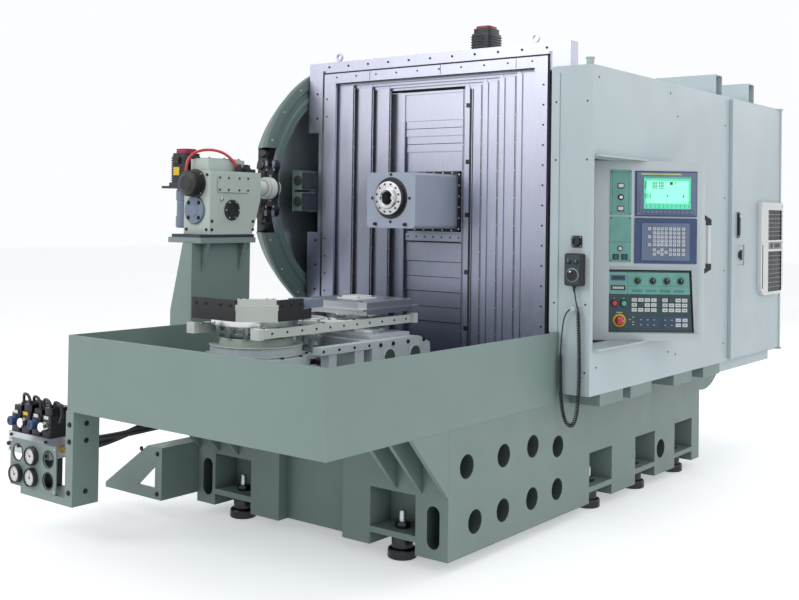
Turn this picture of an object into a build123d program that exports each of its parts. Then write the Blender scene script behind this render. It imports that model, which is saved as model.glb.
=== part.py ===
from build123d import *
import os
from math import cos, pi, radians, sin, tan

# Horizontal machining centre without its outer guards: bed, coolant tray, pallet changer, tool arm,
# tool magazine, telescopic way covers, machine cabinet, electrical cabinet and swivelling operator panel.
# Millimetres. While it is built, X runs to the right seen from the front, Y to the rear and Z up,
# X = 0 is the right side of the bed, Y = 0 the front of the coolant tray and Z = 0 the floor.

# Clearances
running = 0.05          # radial, round sliding and turning fits
guide = 0.3             # between flat guided faces
sheet = 5               # cabinet sheet metal

# Bed casting, and the heights that the rest stands on
bed_width = 1420
bed_front = 720
bed_length = 2449
bed_rear = bed_front + bed_length
bed_underside = 45
tray_seat = 555
deck = tray_seat + 42
leg_recess = 60
leg_inner_right = 535
leg_inner_left = 900
ledge_front = bed_rear - 77
ledge_rear = bed_rear + 291
ledge_height = deck - 57
flare_foot = deck - 175
flare_lip = ledge_height - 18
flare_sag = 42
gusset_foot = 291
gusset_reach = 242
gusset_thickness = 20
gusset_offsets = (0, 125, 250)
shelf_underside = 95
shelf_thickness = 25
pocket_depth = 140
pocket_width = 230
pocket_height = 160
front_pockets = (273, 1186)
side_pockets = (bed_rear - 1185, bed_rear - 697, bed_rear - 217)
slot_inset = 71
slot_width = 60
slot_low = 85
slot_high = 252
slot_depth = 110
porthole_radius = 48
porthole_depth = 110
high_portholes = ((844, 396), (1117, 394), (1351, 395), (1569, 360))
low_portholes = ((907, 167), (1115, 169), (1348, 171), (1565, 171), (bed_rear - 509, 176))
side_brackets = (bed_rear - 1378, bed_rear - 1068, bed_rear - 578, bed_rear - 199)
side_bracket_width = 230
side_bracket_height = 57
sill_height = deck + 43
rail_height = 40
rail_width = 45
rail_inset = 65
rail_inboard = 60

# Travels of the sliding pieces from where they are drawn, and the covers' shares of the column's travel
column_travel = (400, 220)
head_travel = (250, 150)
ram_travel = 280
lift_travel = 60
left_shares = (0.2475, 0.52, 0.77)
right_shares = (0.8, 0.6, 0.4, 0.2)

# Levelling feet
pad_radius = 60
jack_radius = 16
jack_rise = 70

# Coolant tray
tray_length = 1564
tray_rim = tray_seat + 314
tray_sheet = 8

# Machine cabinet
cabinet_left = -bed_width - 110
cabinet_right = 154
cabinet_top = deck + 1465
cabinet_rear = bed_rear + 3
cabinet_front_left = -48
cabinet_lip = 60        # sheet left round the openings in its floor and roof
roof_margin = 20        # between its roof and the column at the end of its travel
front_strip_width = 41
front_strip_drop = 30
channel_places = (cabinet_rear - 194, cabinet_rear + 299)
channel_width = 90
channel_height = 107
channel_length = 350
vent_radius = 18
vent_height = 45
vent_inset = (60, 90)

# Electrical cabinet
electrical_left = -bed_width
electrical_depth = 805
electrical_rear = cabinet_rear + electrical_depth
plinth_inset = 20
plinth_setback = 84
electrical_rim = 40
door_thickness = 20
door_margin = 10
hinge_pin_radius = 5
hinge_stem_radius = 8
hinge_knuckle = (34, 22)
hinge_plate = 12
plate_setback = 200
plate_margin = 80
drive_count = 6
drive_reach = 260
drive_gap = 12
drive_heights = (deck + 600, deck + 1000)
handle_axis = (cabinet_rear + 91.5, deck + 805)
handle_dish = (45, 146, 6)
handle_lever = (19, 115, 12)
handle_inlay = (11, 95, 4)
switch_axis = (cabinet_rear + 140, deck + 585)
switch_plate = (128, 116, 6)
switch_radius = 20
switch_lever = (14, 60, 8)
cooler_size = (26, 377, 546)
cooler_low = deck + 342
cooler_margin = 21
grille_inset = 26
grille_width = 230
grille_depth = 12
grilles = ((19, 256), (323, 501))
grille_counts = (8, 6)
cooler_slot = (12, 255)

# Wall frame and way covers
wall_front = tray_length + 36
wall_rear = wall_front + 70
wall_left = -bed_width - 139
wall_right = 23
wall_skin = 5
frame_left = -bed_width - 25
frame_right = -90
frame_face = wall_front - 8
opening_left = frame_left + 78
opening_right = frame_right - 68
sill_top = sill_height + 15
head_datum = cabinet_top + 7
frame_top = head_datum + 51
wall_top = frame_top + 63
frame_seat = 20         # the frame's overlap on the pan
cover_pitch = 14
cover_sheet = 3
cover_gap = 0.5
cover_setback = 4
head_step = 13
wiper_width = 28
wiper_depth = 6
wiper_drop = 4
notch_reach = 120
notch = (deck + 686, deck + 1216)
eyebolt_places = (frame_left + 65, frame_right - 92)
eye_radius = 22
eye_bore = 12
eye_thickness = 12
eye_rise = 8
eye_stem = 14

# Column, cover unit, head and spindle
spindle_x = -bed_width / 2 - 80
spindle_z = deck + 865
column_width = 580
column_front = wall_rear + 130
column_rear = column_front + 500
column_top = deck + 1553
column_slot = 356
column_slot_low = sill_top + 35
column_slot_high = column_top - 60
column_web = 40
column_pocket_inset = 90
column_pockets = ((deck + 163, deck + 583), (deck + 653, deck + 1043), (deck + 1113, deck + 1453))
cover_unit_width = 640
cover_unit_front = wall_rear + 4
cover_unit_sheet = 6
cover_unit_top = cabinet_top - 58
cover_unit_web = 40
cover_unit_rib = (20, 60)
left_first = opening_left + 104
left_last = spindle_x - cover_unit_width / 2 + 66
right_first = spindle_x + cover_unit_width / 2 - 115
right_last = opening_right - 107
left_edges = tuple(left_first + share * (left_last - left_first) for share in (0, 0.52, 1))
right_edges = tuple(right_first + share * (right_last - right_first) for share in (0, 0.353, 0.672, 1))
left_step = left_edges[1] - left_edges[0]
right_step = right_edges[1] - right_edges[0]
cover_lap = 6           # least overlap of two covers that are pulled apart
left_cover_width = left_step + (left_shares[1] - left_shares[0]) * column_travel[1] + cover_lap
right_cover_width = right_step + (right_shares[0] - right_shares[1]) * column_travel[0] + 4 * cover_lap
slat_pitch = 5
slat_width = 400
slat_bead = 6
slat_lap = 15
upper_slat_pitch = 78
upper_slat_start = 58
upper_slat_height = upper_slat_pitch + head_travel[0] / 3 + slat_lap
lower_slat_pitch = 150
lower_slat_height = lower_slat_pitch + head_travel[1] / 3 + slat_lap
plate_low = spindle_z - 312
plate_high = spindle_z + 338
motor_side = 130
motor_height = 245
motor_neck = 60
motor_cap = 8
motor_cap_radius = 40
motor_corner = 12
motor_y = column_rear - 150
head_front = column_front - 70
head_rear = column_rear - 50
head_low = spindle_z - 252
head_high = spindle_z + 232
collar_margin = 10
ram_width = 290
ram_low = spindle_z - 142
ram_high = spindle_z + 122
ram_front = wall_front - 260
ram_rear = head_rear - ram_travel / 2
ram_corner = 12
nose_radius = 79
nose_front = ram_front - 38
nose_step = 12
nose_step_radius = 52
bearing_radius = 60
bearing_depth = 400
recess_radius = 100
recess_depth = 30
taper_mouth = 26
taper_depth = 70
taper_slope = 7 / 48
key_place = 40
key_width = 16
key_height = 6

# Pallets, table and changer
table_x = -bed_width / 2 - 193
table_y = tray_length - 329
changer_y = table_y - 332
station_y = 2 * changer_y - table_y
pallet_side = 400
pallet_chamfer = 40
pallet_thickness = 55
pallet_hub_radius = 150
pallet_hole_radius = 8
pallet_hole_pitch = 200
pallet_hole_depth = 30
centre_plate = (140, 14)
tray_floor = tray_seat + tray_sheet
turntable_top = tray_floor + 299
turntable_radius = 157
turntable_thickness = 22
pallet_top = turntable_top + 123
base_right = table_x + 303
base_front = table_y - 255
base_rear = table_y + 195
base_shoulder = turntable_top - 72
base_crown = 35
base_slope = (20, 100)
base_plinth = (60, 15)
arch_radius = 40
arch_depth = 90
arches = (table_y - 131, table_y + 59)
fork_beam_x = 190
fork_beam_width = 28
fork_low = turntable_top + 10
fork_high = fork_low + 39
fork_front = station_y - 173
fork_rear = table_y + 170
fork_tie = 36
fork_hub_half = 60
hub_radius = 120
post_radius = 60
post_foot = tray_floor + 37
post_collar = fork_low - 112
collar_half = 90
drum_radius = 195
drum_high = turntable_top - 32
drum_low = drum_high - 45
pedestal_radius = 230
side_bar = (50, 31, 5)
side_bar_front = station_y + 79
side_bar_foot = 60
fixture_height = 40
fixture_plate = 16
fixture_corner = 75

# Tool arm
arm_x = -bed_width - 80
arm_z = spindle_z + 46
arm_front = nose_front - 52
arm_thickness = 35
arm_reach = 140
arm_half_width = 28
arm_neck = 35
arm_flange = 55
arm_flange_thickness = 40
grip_radius = 42
grip_bore = 24
grip_mouth = 20
arm_shaft = 22
arm_bore_depth = 60
atc_post_right = -bed_width - 60
atc_post_left = -bed_width - 125
atc_post_flare = 80
atc_post_foot = 350
atc_post_waist = deck + 318
atc_flange_right = -bed_width - 10
atc_flange_left = -bed_width - 240
atc_flange_low = spindle_z - 226
atc_flange_top = atc_flange_low + 26
atc_flange_inset = (10, 13)
rib_low = pallet_top + fixture_height + lift_travel + 10
rib_thickness = 16
rib_insets = (60, 80)
saddle_thickness = 15
housing_left = -bed_width - 200
housing_right = -bed_width - 20
housing_rear = arm_front - 129
housing_front = housing_rear - 335
atc_post_front = housing_front - 71
atc_post_rear = housing_rear - 26
housing_top = atc_flange_top + 318
housing_crown = (10, 45, 30, 70, 58)
housing_step = (55, 40, 40, 170)
port_radius = 42
port_place = (housing_rear - 192, housing_top - 186)
port_depth = 25
servo_plate = (180, 12)
servo_side = 120
servo_height = 160
servo_cap = (80, 24)
servo_cylinder = (46, 194)
arm_motor = (70, 70)
arm_cover = (66, 12)
arm_motor_place = (housing_left + 80, housing_top - 62)
arm_cover_place = (housing_left + 80, housing_top - 189)

# Tool magazine
magazine_y = wall_rear + 280
magazine_z = spindle_z + 38
guard_radius = 704
guard_inner = guard_radius - 144
guard_width = 150
guard_sheet = 4
guard_window = 220
guard_window_depth = 129
pot_count = 60
pot_reach = guard_radius - 54
pot_root = guard_radius - 119
pot_gap = 3.2
pot_width = 2 * pi * pot_root / pot_count - pot_gap
disc_thickness = 46
axle_radius = 40
stand_right = wall_left + 12
stand_thickness = 15
guard_pad_depth = 3
magazine_x = stand_right - stand_thickness - guard_pad_depth - guard_width / 2
stand_half_width = 200
stand_foot = 300
station_front = magazine_y - 470
station_half_height = 110
station_box = (50, 110, 98)
guard_pad = (80, 90)
guard_pad_inset = 140

# Operator panel
panel_x = cabinet_right
panel_y = tray_length + 554
panel_z = deck + 633
panel_turn = 37.6
panel_width = 540
panel_height = 850
panel_depth = 120
panel_opening = (panel_y - 528, panel_y + 302)
panel_shelf = 8
shelf_reach = (110, 30)
pivot_radius = 12
pivot_length = 20
unit_width = 295
unit_height = 215
unit_left = -66
unit_depth = 10
unit_rise = 6
screen_top = 378
screen_frame = (45, 40, 25, 27, 4)
keyboard_top = 155
key_field = (40, 35, 20, 17, 5)
control_left = -184
control_right = 237
control_top = -91
control_bottom = -385
control_depth = 30
control_thickness = 12
strip_width = 102
strip_thickness = 3
strips = ((167, 381), (-55, 160))
rocker_x = -133
rockers = ((24, 298, 314, 7), (24, 190, 206, 7), (18, 236, 268, 14))
key_blocks = ((-75, -282), (-75, -344), (75, -282), (75, -344))
key_block = (84, 48)
handle_span = (-112, 178)
handle_reach = 42
handle_bar = 18
handle_end = 28
handle_y = (-16, 4)
side_slot = (180, 290)
side_slot_size = (8, 12)
knob_radius = 14
knob_height = 20
knob_shaft = 4
knob_z = -144
knob_places = (-45, 27, 93, 159)
knob_pointer = (4, 2)
shaft_reach = 10
button_radius = 11
button_stem = 7
button_travel = 4
button_height = 9
button_z = -251
start_u = -110
hold_u = -154
stop_u = -130
stop_z = -332
stop_radius = 22
stop_stem = 11
stop_gap = 8
stop_height = 18
stop_edge = 5

# Hand pendant with its curly lead
pendant_x = cabinet_right - 67
pendant_width = 82
pendant_depth = 45
pendant_low = deck + 485
pendant_high = pendant_low + 143
pendant_corner = 14
wheel_radius = 26
wheel_rise = 12
wheel_height = 48
selector_radius = 10
selector_rise = 9
selector_drop = 36
selector_half_pitch = 18
lead_radius = 3.5
coil_radius = 10.5
coil_start = (pendant_x + 20, pendant_low - 107)
coil_end = (pendant_x - 65, pendant_low - 299)
coil_low = pendant_low - 616
coil_sides = (pendant_x - 71, pendant_x + 47)
outlet = (pendant_x - 13, pendant_x + 9, pendant_low - 110, pendant_low - 90)
outlet_depth = 34

# Hydraulic and pneumatic units beside the bed
hanger_right = -bed_width + 43
hanger_width = 50
hanger_depth = 130
hanger_foot = 164
hanger_foot_height = 30
hanger_foot_left = -bed_width - 319
side_bracket_front = bed_front - 214
side_bracket_sheet = 10
side_bracket_low = 85
side_bracket_high = 320
side_bracket_reach = 396
side_bracket_top = 98
side_bracket_lip = 108
side_bracket_rear = bed_front + 120
bracket_hole = (45, 160, 135, 235)
gauge_left = -bed_width - 399
gauge_right = -bed_width - 69
gauge_top = hanger_foot + 231
gauge_plate = 6
gauge_radius = 40
gauge_bore = 34
gauge_depth = 22
gauge_rows = (58, 52)
valve_left = -bed_width - 508
valve_right = -bed_width - 204
valve_low = hanger_foot + 147
valve_y = (60, 190)
valve_block = 90
valve_count = 4
valve_gap = 6
valve_rise = 128
hose_radius = 16
hose_bend = 110
hose_y = 165
hose_lead = 120
hose_turn = 430
hose_drop = 35
hose_pitch = 40
hose_x = -bed_width + 175

# Flat sides of round details, from the smallest to the magazine's rim
hex_sides = 6
few_sides = 8
some_sides = 12
many_sides = 24
rim_sides = 48

AXES = {"X": (1, 0, 0), "Y": (0, 1, 0), "Z": (0, 0, 1)}
CORNER = (Align.MIN, Align.MIN, Align.MIN)
ON_END = (Align.CENTER, Align.CENTER, Align.MIN)


def block(x, y, z):
    """A box between two limits along each axis."""
    sizes = (high - low for low, high in (x, y, z))
    return Pos(x[0], y[0], z[0]) * Box(*sizes, align=CORNER)


def around(middle, width):
    """Limits of a width that is centred on a place."""
    return middle - width / 2, middle + width / 2


def rod(axis, centre, span, radius, sides=0):
    """A bar along one axis, round or with flat sides; centre is its place on the other two axes."""
    if sides:
        step = 2 * pi / sides
        turns = [step * (k + 0.5) for k in range(sides)]
        return outline(axis, [(centre[0] + radius * cos(a), centre[1] + radius * sin(a)) for a in turns],
                       span)
    origin = list(centre)
    origin.insert("XYZ".index(axis), span[0])
    return Plane(origin=origin, z_dir=AXES[axis]) * Cylinder(radius, span[1] - span[0], align=ON_END)


def outline(axis, points, span):
    """A closed outline drawn across one axis and carried along it."""
    place = "XYZ".index(axis)
    corners = [(*point[:place], span[0], *point[place:]) for point in points]
    return extrude(make_face(Polyline(*corners, close=True)), amount=span[1] - span[0], dir=AXES[axis])


def group(parts):
    """Separate solids that stay apart in one sub-part."""
    return Compound([solid for part in parts for solid in part.solids()])


# Bed, feet and tray

def bed():
    """Cast bed: solid body with blind pockets, front gussets under the tray and a flared rear ledge."""
    side = Polyline((ledge_rear, flare_lip), (ledge_rear, ledge_height), (ledge_front, ledge_height),
                    (ledge_front, deck), (tray_length, deck), (tray_length, tray_seat), (bed_front,
                                                                                         tray_seat),
                    (bed_front, bed_underside), (bed_rear, bed_underside), (bed_rear, flare_foot))
    flare = SagittaArc((bed_rear, flare_foot), (ledge_rear, flare_lip), flare_sag)
    body = extrude(Plane.YZ * make_face(side + flare), amount=bed_width, dir=(-1, 0, 0))
    body -= block((-leg_inner_left, -leg_inner_right), (bed_front, bed_front + leg_recess),
                  (bed_underside, tray_seat))
    body += [outline("X", [(bed_front, gusset_foot), (bed_front - gusset_reach, tray_seat),
                           (bed_front, tray_seat)],
                     (x - gusset_thickness, x)) for x in gusset_rights()]
    body -= front_openings() + side_openings()
    body += [block((0, cabinet_right - sheet), around(y, side_bracket_width),
                   (deck - side_bracket_height, deck))
             for y in side_brackets]
    body += block((-bed_width, cabinet_front_left - guide), (tray_length, wall_rear), (deck, sill_height))
    rail_x = (-bed_width + rail_inset, -rail_inset)
    body += [block(rail_x, around(y, rail_width), (deck, deck + rail_height))
             for y in (column_front + rail_inboard, column_rear - rail_inboard)]
    return body


def gusset_rights():
    """Right-hand faces of the gussets, mirrored about the middle of the bed."""
    right = [-offset for offset in gusset_offsets]
    return right + [-bed_width + offset + gusset_thickness for offset in gusset_offsets]


def foot_pocket(x, y):
    """Pocket above and below the shelf that a levelling foot carries, with the jack's hole."""
    middle = ((x[0] + x[1]) / 2, (y[0] + y[1]) / 2)
    shelf_top = shelf_underside + shelf_thickness
    return [block(x, y, (shelf_top, shelf_top + pocket_height)),
            block(x, y, (bed_underside, shelf_underside)),
            rod("Z", middle, (shelf_underside, shelf_top), jack_radius + guide, hex_sides)]


def side_limits(depth):
    """X limits of a pocket of one depth on the right and on the left side of the bed."""
    return (-depth, 0), (-bed_width, -bed_width + depth)


def front_openings():
    """Two foot pockets and two upright oblong slots in the front of the bed."""
    cuts = []
    for x in front_pockets:
        cuts += foot_pocket(around(-x, pocket_width), (bed_front, bed_front + pocket_depth))
    for x in (slot_inset, bed_width - slot_inset):
        half = slot_width / 2
        y = (bed_front, bed_front + slot_depth)
        cuts += [block(around(-x, slot_width), y, (slot_low + half, slot_high - half))]
        cuts += [rod("Y", (-x, z), y, half, few_sides) for z in (slot_low + half, slot_high - half)]
    return cuts


def side_openings():
    """Foot pockets and round core holes in both sides of the bed."""
    cuts = []
    for x in side_limits(pocket_depth):
        for y in side_pockets:
            cuts += foot_pocket(x, around(y, pocket_width))
    for x in side_limits(porthole_depth):
        cuts += [rod("X", hole, x, porthole_radius, few_sides)
                 for hole in high_portholes + low_portholes]
    return cuts


def foot_places():
    """Centres of the eight levelling feet, one below each pocket's shelf."""
    front = [(-x, bed_front + pocket_depth / 2) for x in front_pockets]
    sides = [((low + high) / 2, y) for low, high in side_limits(pocket_depth) for y in side_pockets]
    return front + sides


def levelling_feet():
    """Round pads with a jack screw through the bed's shelf."""
    feet = []
    for place in foot_places():
        pad = rod("Z", place, (0, shelf_underside), pad_radius, some_sides)
        jack_top = shelf_underside + shelf_thickness + jack_rise
        feet.append(pad + rod("Z", place, (shelf_underside, jack_top), jack_radius, hex_sides))
    return group(feet)


def coolant_tray():
    """Open sheet tray round the pallet changer, with a low rear wall."""
    body = block((-bed_width, 0), (0, tray_length), (tray_seat, tray_rim))
    inside = (-bed_width + tray_sheet, -tray_sheet)
    body -= block(inside, (tray_sheet, tray_length - tray_sheet), (tray_floor, tray_rim))
    return body - block(inside, (tray_length - tray_sheet, tray_length), (sill_height, tray_rim))


# Cabinets

def cabinet_shell():
    """Sheet cabinet over the column, open where the wall frame, the panel and the column go."""
    x = (cabinet_left, cabinet_right)
    y = (tray_length, cabinet_rear)
    z = (deck, cabinet_top)
    body = block(x, y, z) - block(*[(low + sheet, high - sheet) for low, high in (x, y, z)])
    body -= block((cabinet_left, cabinet_front_left), (tray_length, cover_plane(5) + guide), z)
    inside = (cabinet_left + cabinet_lip, -cabinet_lip)
    body -= block(inside, (wall_rear, cabinet_rear - cabinet_lip), (deck, deck + sheet))
    roof = (spindle_x - column_width / 2 - column_travel[0] - roof_margin, -cabinet_lip)
    body -= block(roof, (wall_rear + cabinet_lip / 2, column_rear + cabinet_lip / 2),
                  (cabinet_top - sheet, cabinet_top))
    body -= block((cabinet_front_left, wall_right + guide), (wall_front - guide, wall_rear + guide),
                  (cabinet_top - sheet, cabinet_top))
    body -= block((cabinet_right - sheet, cabinet_right), panel_opening, (shelf_face(-1), shelf_face(1)))
    body += block((cabinet_front_left, cabinet_front_left + front_strip_width),
                  (tray_length - sheet, tray_length), (tray_rim + guide, cabinet_top - front_strip_drop))
    body += panel_shelves() + roof_channels()
    body += block(outlet[:2], (tray_length - outlet_depth, tray_length), outlet[2:])
    body += rod("Z", (cabinet_right - vent_inset[0], tray_length + vent_inset[1]),
                (cabinet_top, cabinet_top + vent_height), vent_radius, some_sides)
    return body


def shelf_face(side):
    """Outer face of the shelf above (1) or below (-1) the operator panel."""
    return panel_z + side * (panel_height / 2 + guide + panel_shelf)


def panel_shelves():
    """Plates above and below the operator panel, each with a fixed pivot pin for it."""
    shelves = []
    reach = (panel_x - shelf_reach[0], panel_x + shelf_reach[1])
    for side in (-1, 1):
        outer = shelf_face(side)
        inner = outer - side * panel_shelf
        shelves += [block(reach, panel_opening, sorted((inner, outer))),
                    rod("Z", (panel_x, panel_y), sorted((inner, inner - side * pivot_length)),
                        pivot_radius)]
    return shelves


def roof_channels():
    """Two channels across the right end of the roof."""
    channels = []
    for y in channel_places:
        span = (cabinet_right - channel_length, cabinet_right)
        body = block(span, (y, y + channel_width), (cabinet_top, cabinet_top + channel_height))
        hollow = (y + sheet, y + channel_width - sheet)
        channels.append(body - block(span, hollow, (cabinet_top, cabinet_top + channel_height - sheet)))
    return channels


def electrical_cabinet():
    """Sheet cabinet at the rear with its plinth, mounting plate, drive modules and door hinge plates."""
    x = (electrical_left, cabinet_right)
    y = (cabinet_rear, electrical_rear)
    z = (deck, cabinet_top)
    body = block(x, y, z) - block((x[0] + sheet, x[1]), *[(low + sheet, high - sheet) for low,
                                                          high in (y, z)])
    rim = electrical_rim
    body += (block((x[1] - sheet, x[1]), y, z)
             - block((x[1] - sheet, x[1]), (y[0] + rim, y[1] - rim), (z[0] + rim, z[1] - rim)))
    body += block((x[0] + plinth_inset, x[1] - plinth_inset),
                  (ledge_front, electrical_rear - plinth_setback), (ledge_height, deck))
    plate_x = x[0] + plate_setback
    body += block((plate_x, plate_x + sheet), (y[0] + sheet, y[1] - sheet),
                  (z[0] + plate_margin, z[1] - plate_margin))
    module = (electrical_depth - 2 * plate_margin) / drive_count
    for k in range(drive_count):
        low = y[0] + plate_margin + k * module
        body += block((plate_x + sheet, plate_x + drive_reach), (low, low + module - drive_gap),
                      drive_heights)
    for low, high in (hinge_plate_low(), hinge_plate_high()):
        knuckle = block((x[1], x[1] + hinge_knuckle[0]), (electrical_rear - hinge_knuckle[1],
                                                          electrical_rear), (low, high))
        body += knuckle - rod("Z", door_axis(), (low, high), hinge_pin_radius + running)
    return body


def door_axis():
    """Place of the electrical door's hinge in X and Y."""
    return cabinet_right + door_thickness, electrical_rear - door_margin


def hinge_plate_low():
    return deck, deck + hinge_plate


def hinge_plate_high():
    return cabinet_top - hinge_plate, cabinet_top


def door_span():
    """Y and Z limits of the electrical door's leaf."""
    return ((cabinet_rear + door_margin, electrical_rear - door_margin),
            (hinge_plate_low()[1] + guide, hinge_plate_high()[0] - guide))


def electrical_door():
    """Door leaf with its hinge pins, the handle's dish and the main switch's recessed plate."""
    y, z = door_span()
    x = (cabinet_right + guide, cabinet_right + door_thickness)
    leaf = block(x, (y[0], y[1] - door_margin / 2), z)
    leaf += rod("Z", door_axis(), z, hinge_stem_radius)
    leaf += rod("Z", door_axis(), (deck + guide, cabinet_top - guide), hinge_pin_radius)
    width, height, rise = handle_dish
    leaf += block((x[1], x[1] + rise), around(handle_axis[0], width),
                  (handle_axis[1] + width / 2 - height, handle_axis[1] + width / 2))
    width, height, depth = switch_plate
    return leaf - block((x[1] - depth, x[1]), around(switch_axis[0], width), around(switch_axis[1], height))


def door_handle():
    """Lift-and-turn handle lever on the door's handle dish."""
    x = cabinet_right + door_thickness + handle_dish[2]
    width, height, rise = handle_lever
    top = handle_axis[1] + width / 2
    lever = block((x, x + rise), around(handle_axis[0], width), (top - height, top))
    width, height, inlay = handle_inlay
    middle = top - handle_lever[1] / 2
    return lever + block((x + rise, x + rise + inlay), around(handle_axis[0], width),
                         around(middle, height))


def main_switch():
    """Rotary lever of the main switch in its recessed plate."""
    x = cabinet_right + door_thickness - switch_plate[2]
    width, height, rise = switch_lever
    body = rod("X", switch_axis, (x, x + rise), switch_radius, some_sides)
    top = switch_axis[1] + switch_radius
    return body + block((x + rise, x + 2 * rise), around(switch_axis[0], width), (top - height, top))


def air_conditioner():
    """Cooling unit on the door, with two slotted grilles and a side slot."""
    x = cabinet_right + door_thickness
    depth, width, height = cooler_size
    rear = electrical_rear - cooler_margin
    body = block((x, x + depth), (rear - width, rear), (cooler_low, cooler_low + height))
    cut = (x + depth - grille_depth, x + depth)
    y = (rear - grille_inset - grille_width, rear - grille_inset)
    for (foot, head), count in zip(grilles, grille_counts):
        pitch = (head - foot) / count
        lows = [cooler_low + foot + k * pitch for k in range(count)]
        body -= [block(cut, y, (low, low + 0.6 * pitch)) for low in lows]
    side = rear - width + cooler_margin
    slot, length = cooler_slot
    return body - block(cut, (side, side + slot), (cooler_low + 2 * cooler_margin,
                                                   cooler_low + 2 * cooler_margin + length))


# Wall frame and telescopic covers

def cover_plane(stage):
    """Front of the cover sheets of one stage."""
    return wall_front + cover_setback + cover_pitch * stage


def cover_top(stage):
    """Underside of the head jamb above one stage."""
    return head_datum - head_step * stage


def wall_frame():
    """Stainless frame round the work opening: outer pan, raised inner frame, stepped head and sill."""
    outer = (wall_left, wall_right)
    body = block(outer, (wall_front, wall_rear), (sill_height, wall_top))
    body -= block((wall_left + wall_skin, wall_right - wall_skin), (wall_front + wall_skin, wall_rear),
                  (sill_top, wall_top - wall_skin))
    body -= block((frame_left - frame_seat, frame_right + frame_seat), (wall_front, wall_front + wall_skin),
                  (sill_top, frame_top + frame_seat))
    inner = block((frame_left, frame_right), (frame_face, wall_front + wall_skin), (sill_height, frame_top))
    inner -= block((opening_left, opening_right), (frame_face, wall_front + wall_skin),
                   (sill_top, head_datum))
    body += inner
    for stage in range(1, 5):
        rear = cover_plane(stage + 1) - 2 * cover_gap
        body += block((frame_left, frame_right), (rear - cover_pitch, rear),
                      (cover_top(stage), wall_top - wall_skin))
    body += block((frame_left, frame_right), (wall_front, cover_plane(1)),
                  (frame_top - frame_seat, wall_top))
    body -= block((wall_left, opening_left - notch_reach), (frame_face, wall_rear), notch)
    return group([body] + [eyebolt(x) for x in eyebolt_places])


def eyebolt(x):
    """Lifting eye standing on the frame's top."""
    y = (wall_front + wall_rear) / 2
    centre = (x, wall_top + eye_rise + eye_radius)
    span = around(y, eye_thickness)
    eye = rod("Y", centre, span, eye_radius, some_sides) - rod("Y", centre, span, eye_bore, some_sides)
    return eye + rod("Z", (x, y), (wall_top, wall_top + 1.2 * eye_rise), eye_stem, few_sides)


def way_cover(left, right, stage, wiper_left):
    """One telescopic cover sheet with the folded wiper strip along its inner edge."""
    y = cover_plane(stage)
    z = (sill_top + cover_gap, cover_top(stage) - cover_gap)
    strip = (left, left + wiper_width) if wiper_left else (right - wiper_width, right)
    return block((left, right), (y, y + cover_sheet), z) + block(strip, (y - wiper_depth, y),
                                                                 (z[0], z[1] - wiper_drop))


def left_cover(stage):
    edge = left_edges[stage - 1]
    return way_cover(edge - left_cover_width, edge, stage, False)


def right_cover(stage):
    edge = right_edges[4 - stage]
    return way_cover(edge, edge + right_cover_width, stage, True)


# Column, cover unit and head

def column():
    """Travelling portal column on the bed's rails, with the slot that the head climbs in."""
    half = column_width / 2
    foot = deck + rail_height + guide
    body = block((spindle_x - half, spindle_x + half), (column_front, column_rear), (foot, column_top))
    body -= block((spindle_x - column_slot / 2, spindle_x + column_slot / 2), (column_front, column_rear),
                  (column_slot_low, column_slot_high))
    pocket = half - column_slot / 2 - column_web
    for sign in (-1, 1):
        side = sorted((spindle_x + sign * half, spindle_x + sign * (half - pocket)))
        body -= [block(side, (column_front + column_pocket_inset, column_rear - column_pocket_inset), z)
                 for z in column_pockets]
    return body


def slat_plane(step):
    """Front of the cover unit's sheets, one pitch behind another."""
    return cover_unit_front + cover_unit_sheet + slat_pitch * step


def y_cover():
    """Cover unit in front of the column: face sheet, slat guides, fixed slats and webs to the column."""
    half = cover_unit_width / 2
    lane = slat_width / 2 + cover_gap
    low = sill_top + cover_gap
    face = slat_plane(0)
    body = block(around(spindle_x, cover_unit_width), (cover_unit_front, face), (low, cover_unit_top))
    body -= block(around(spindle_x, column_slot), (cover_unit_front, face),
                  (column_slot_low + slat_bead, cover_unit_top - 2 * slat_bead))
    near, far = cover_unit_rib
    for sign in (-1, 1):
        body += block(sorted((spindle_x + sign * lane, spindle_x + sign * half)),
                      (face, face + cover_unit_web),
                      (low, cover_unit_top))
        rib = sorted(spindle_x + sign * (column_width / 2 - inset) for inset in (near, far))
        body += block(rib, (face + cover_unit_web, column_front), (low + near, cover_unit_top - near))
    lane_x = around(spindle_x, 2 * lane)
    body += block(lane_x, (face, face + cover_sheet),
                  (upper_bottom(1) + upper_slat_pitch, cover_unit_top - slat_bead))
    body += block(lane_x, (slat_plane(6), slat_plane(6) + cover_sheet),
                  (column_slot_low, lower_bottom(2) + head_travel[1] / 3 + 2 * slat_lap))
    return body


def upper_bottom(place):
    """Lower edge of an upper slat; place 1 is the higher one."""
    return plate_high + upper_slat_start - upper_slat_pitch * place


def lower_bottom(place):
    """Lower edge of a lower slat; place 1 is the higher one."""
    return plate_low - lower_slat_pitch * place


def slat(step, bottom, height, lip_low):
    """One sliding slat of the cover unit with a bead on its free edge."""
    y = slat_plane(step)
    bead = (bottom, bottom + slat_bead) if lip_low else (bottom + height - slat_bead, bottom + height)
    body = block(around(spindle_x, slat_width), (y, y + cover_sheet), (bottom, bottom + height))
    return body + block(around(spindle_x, column_slot - slat_bead), (y - cover_sheet / 2, y), bead)


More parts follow.
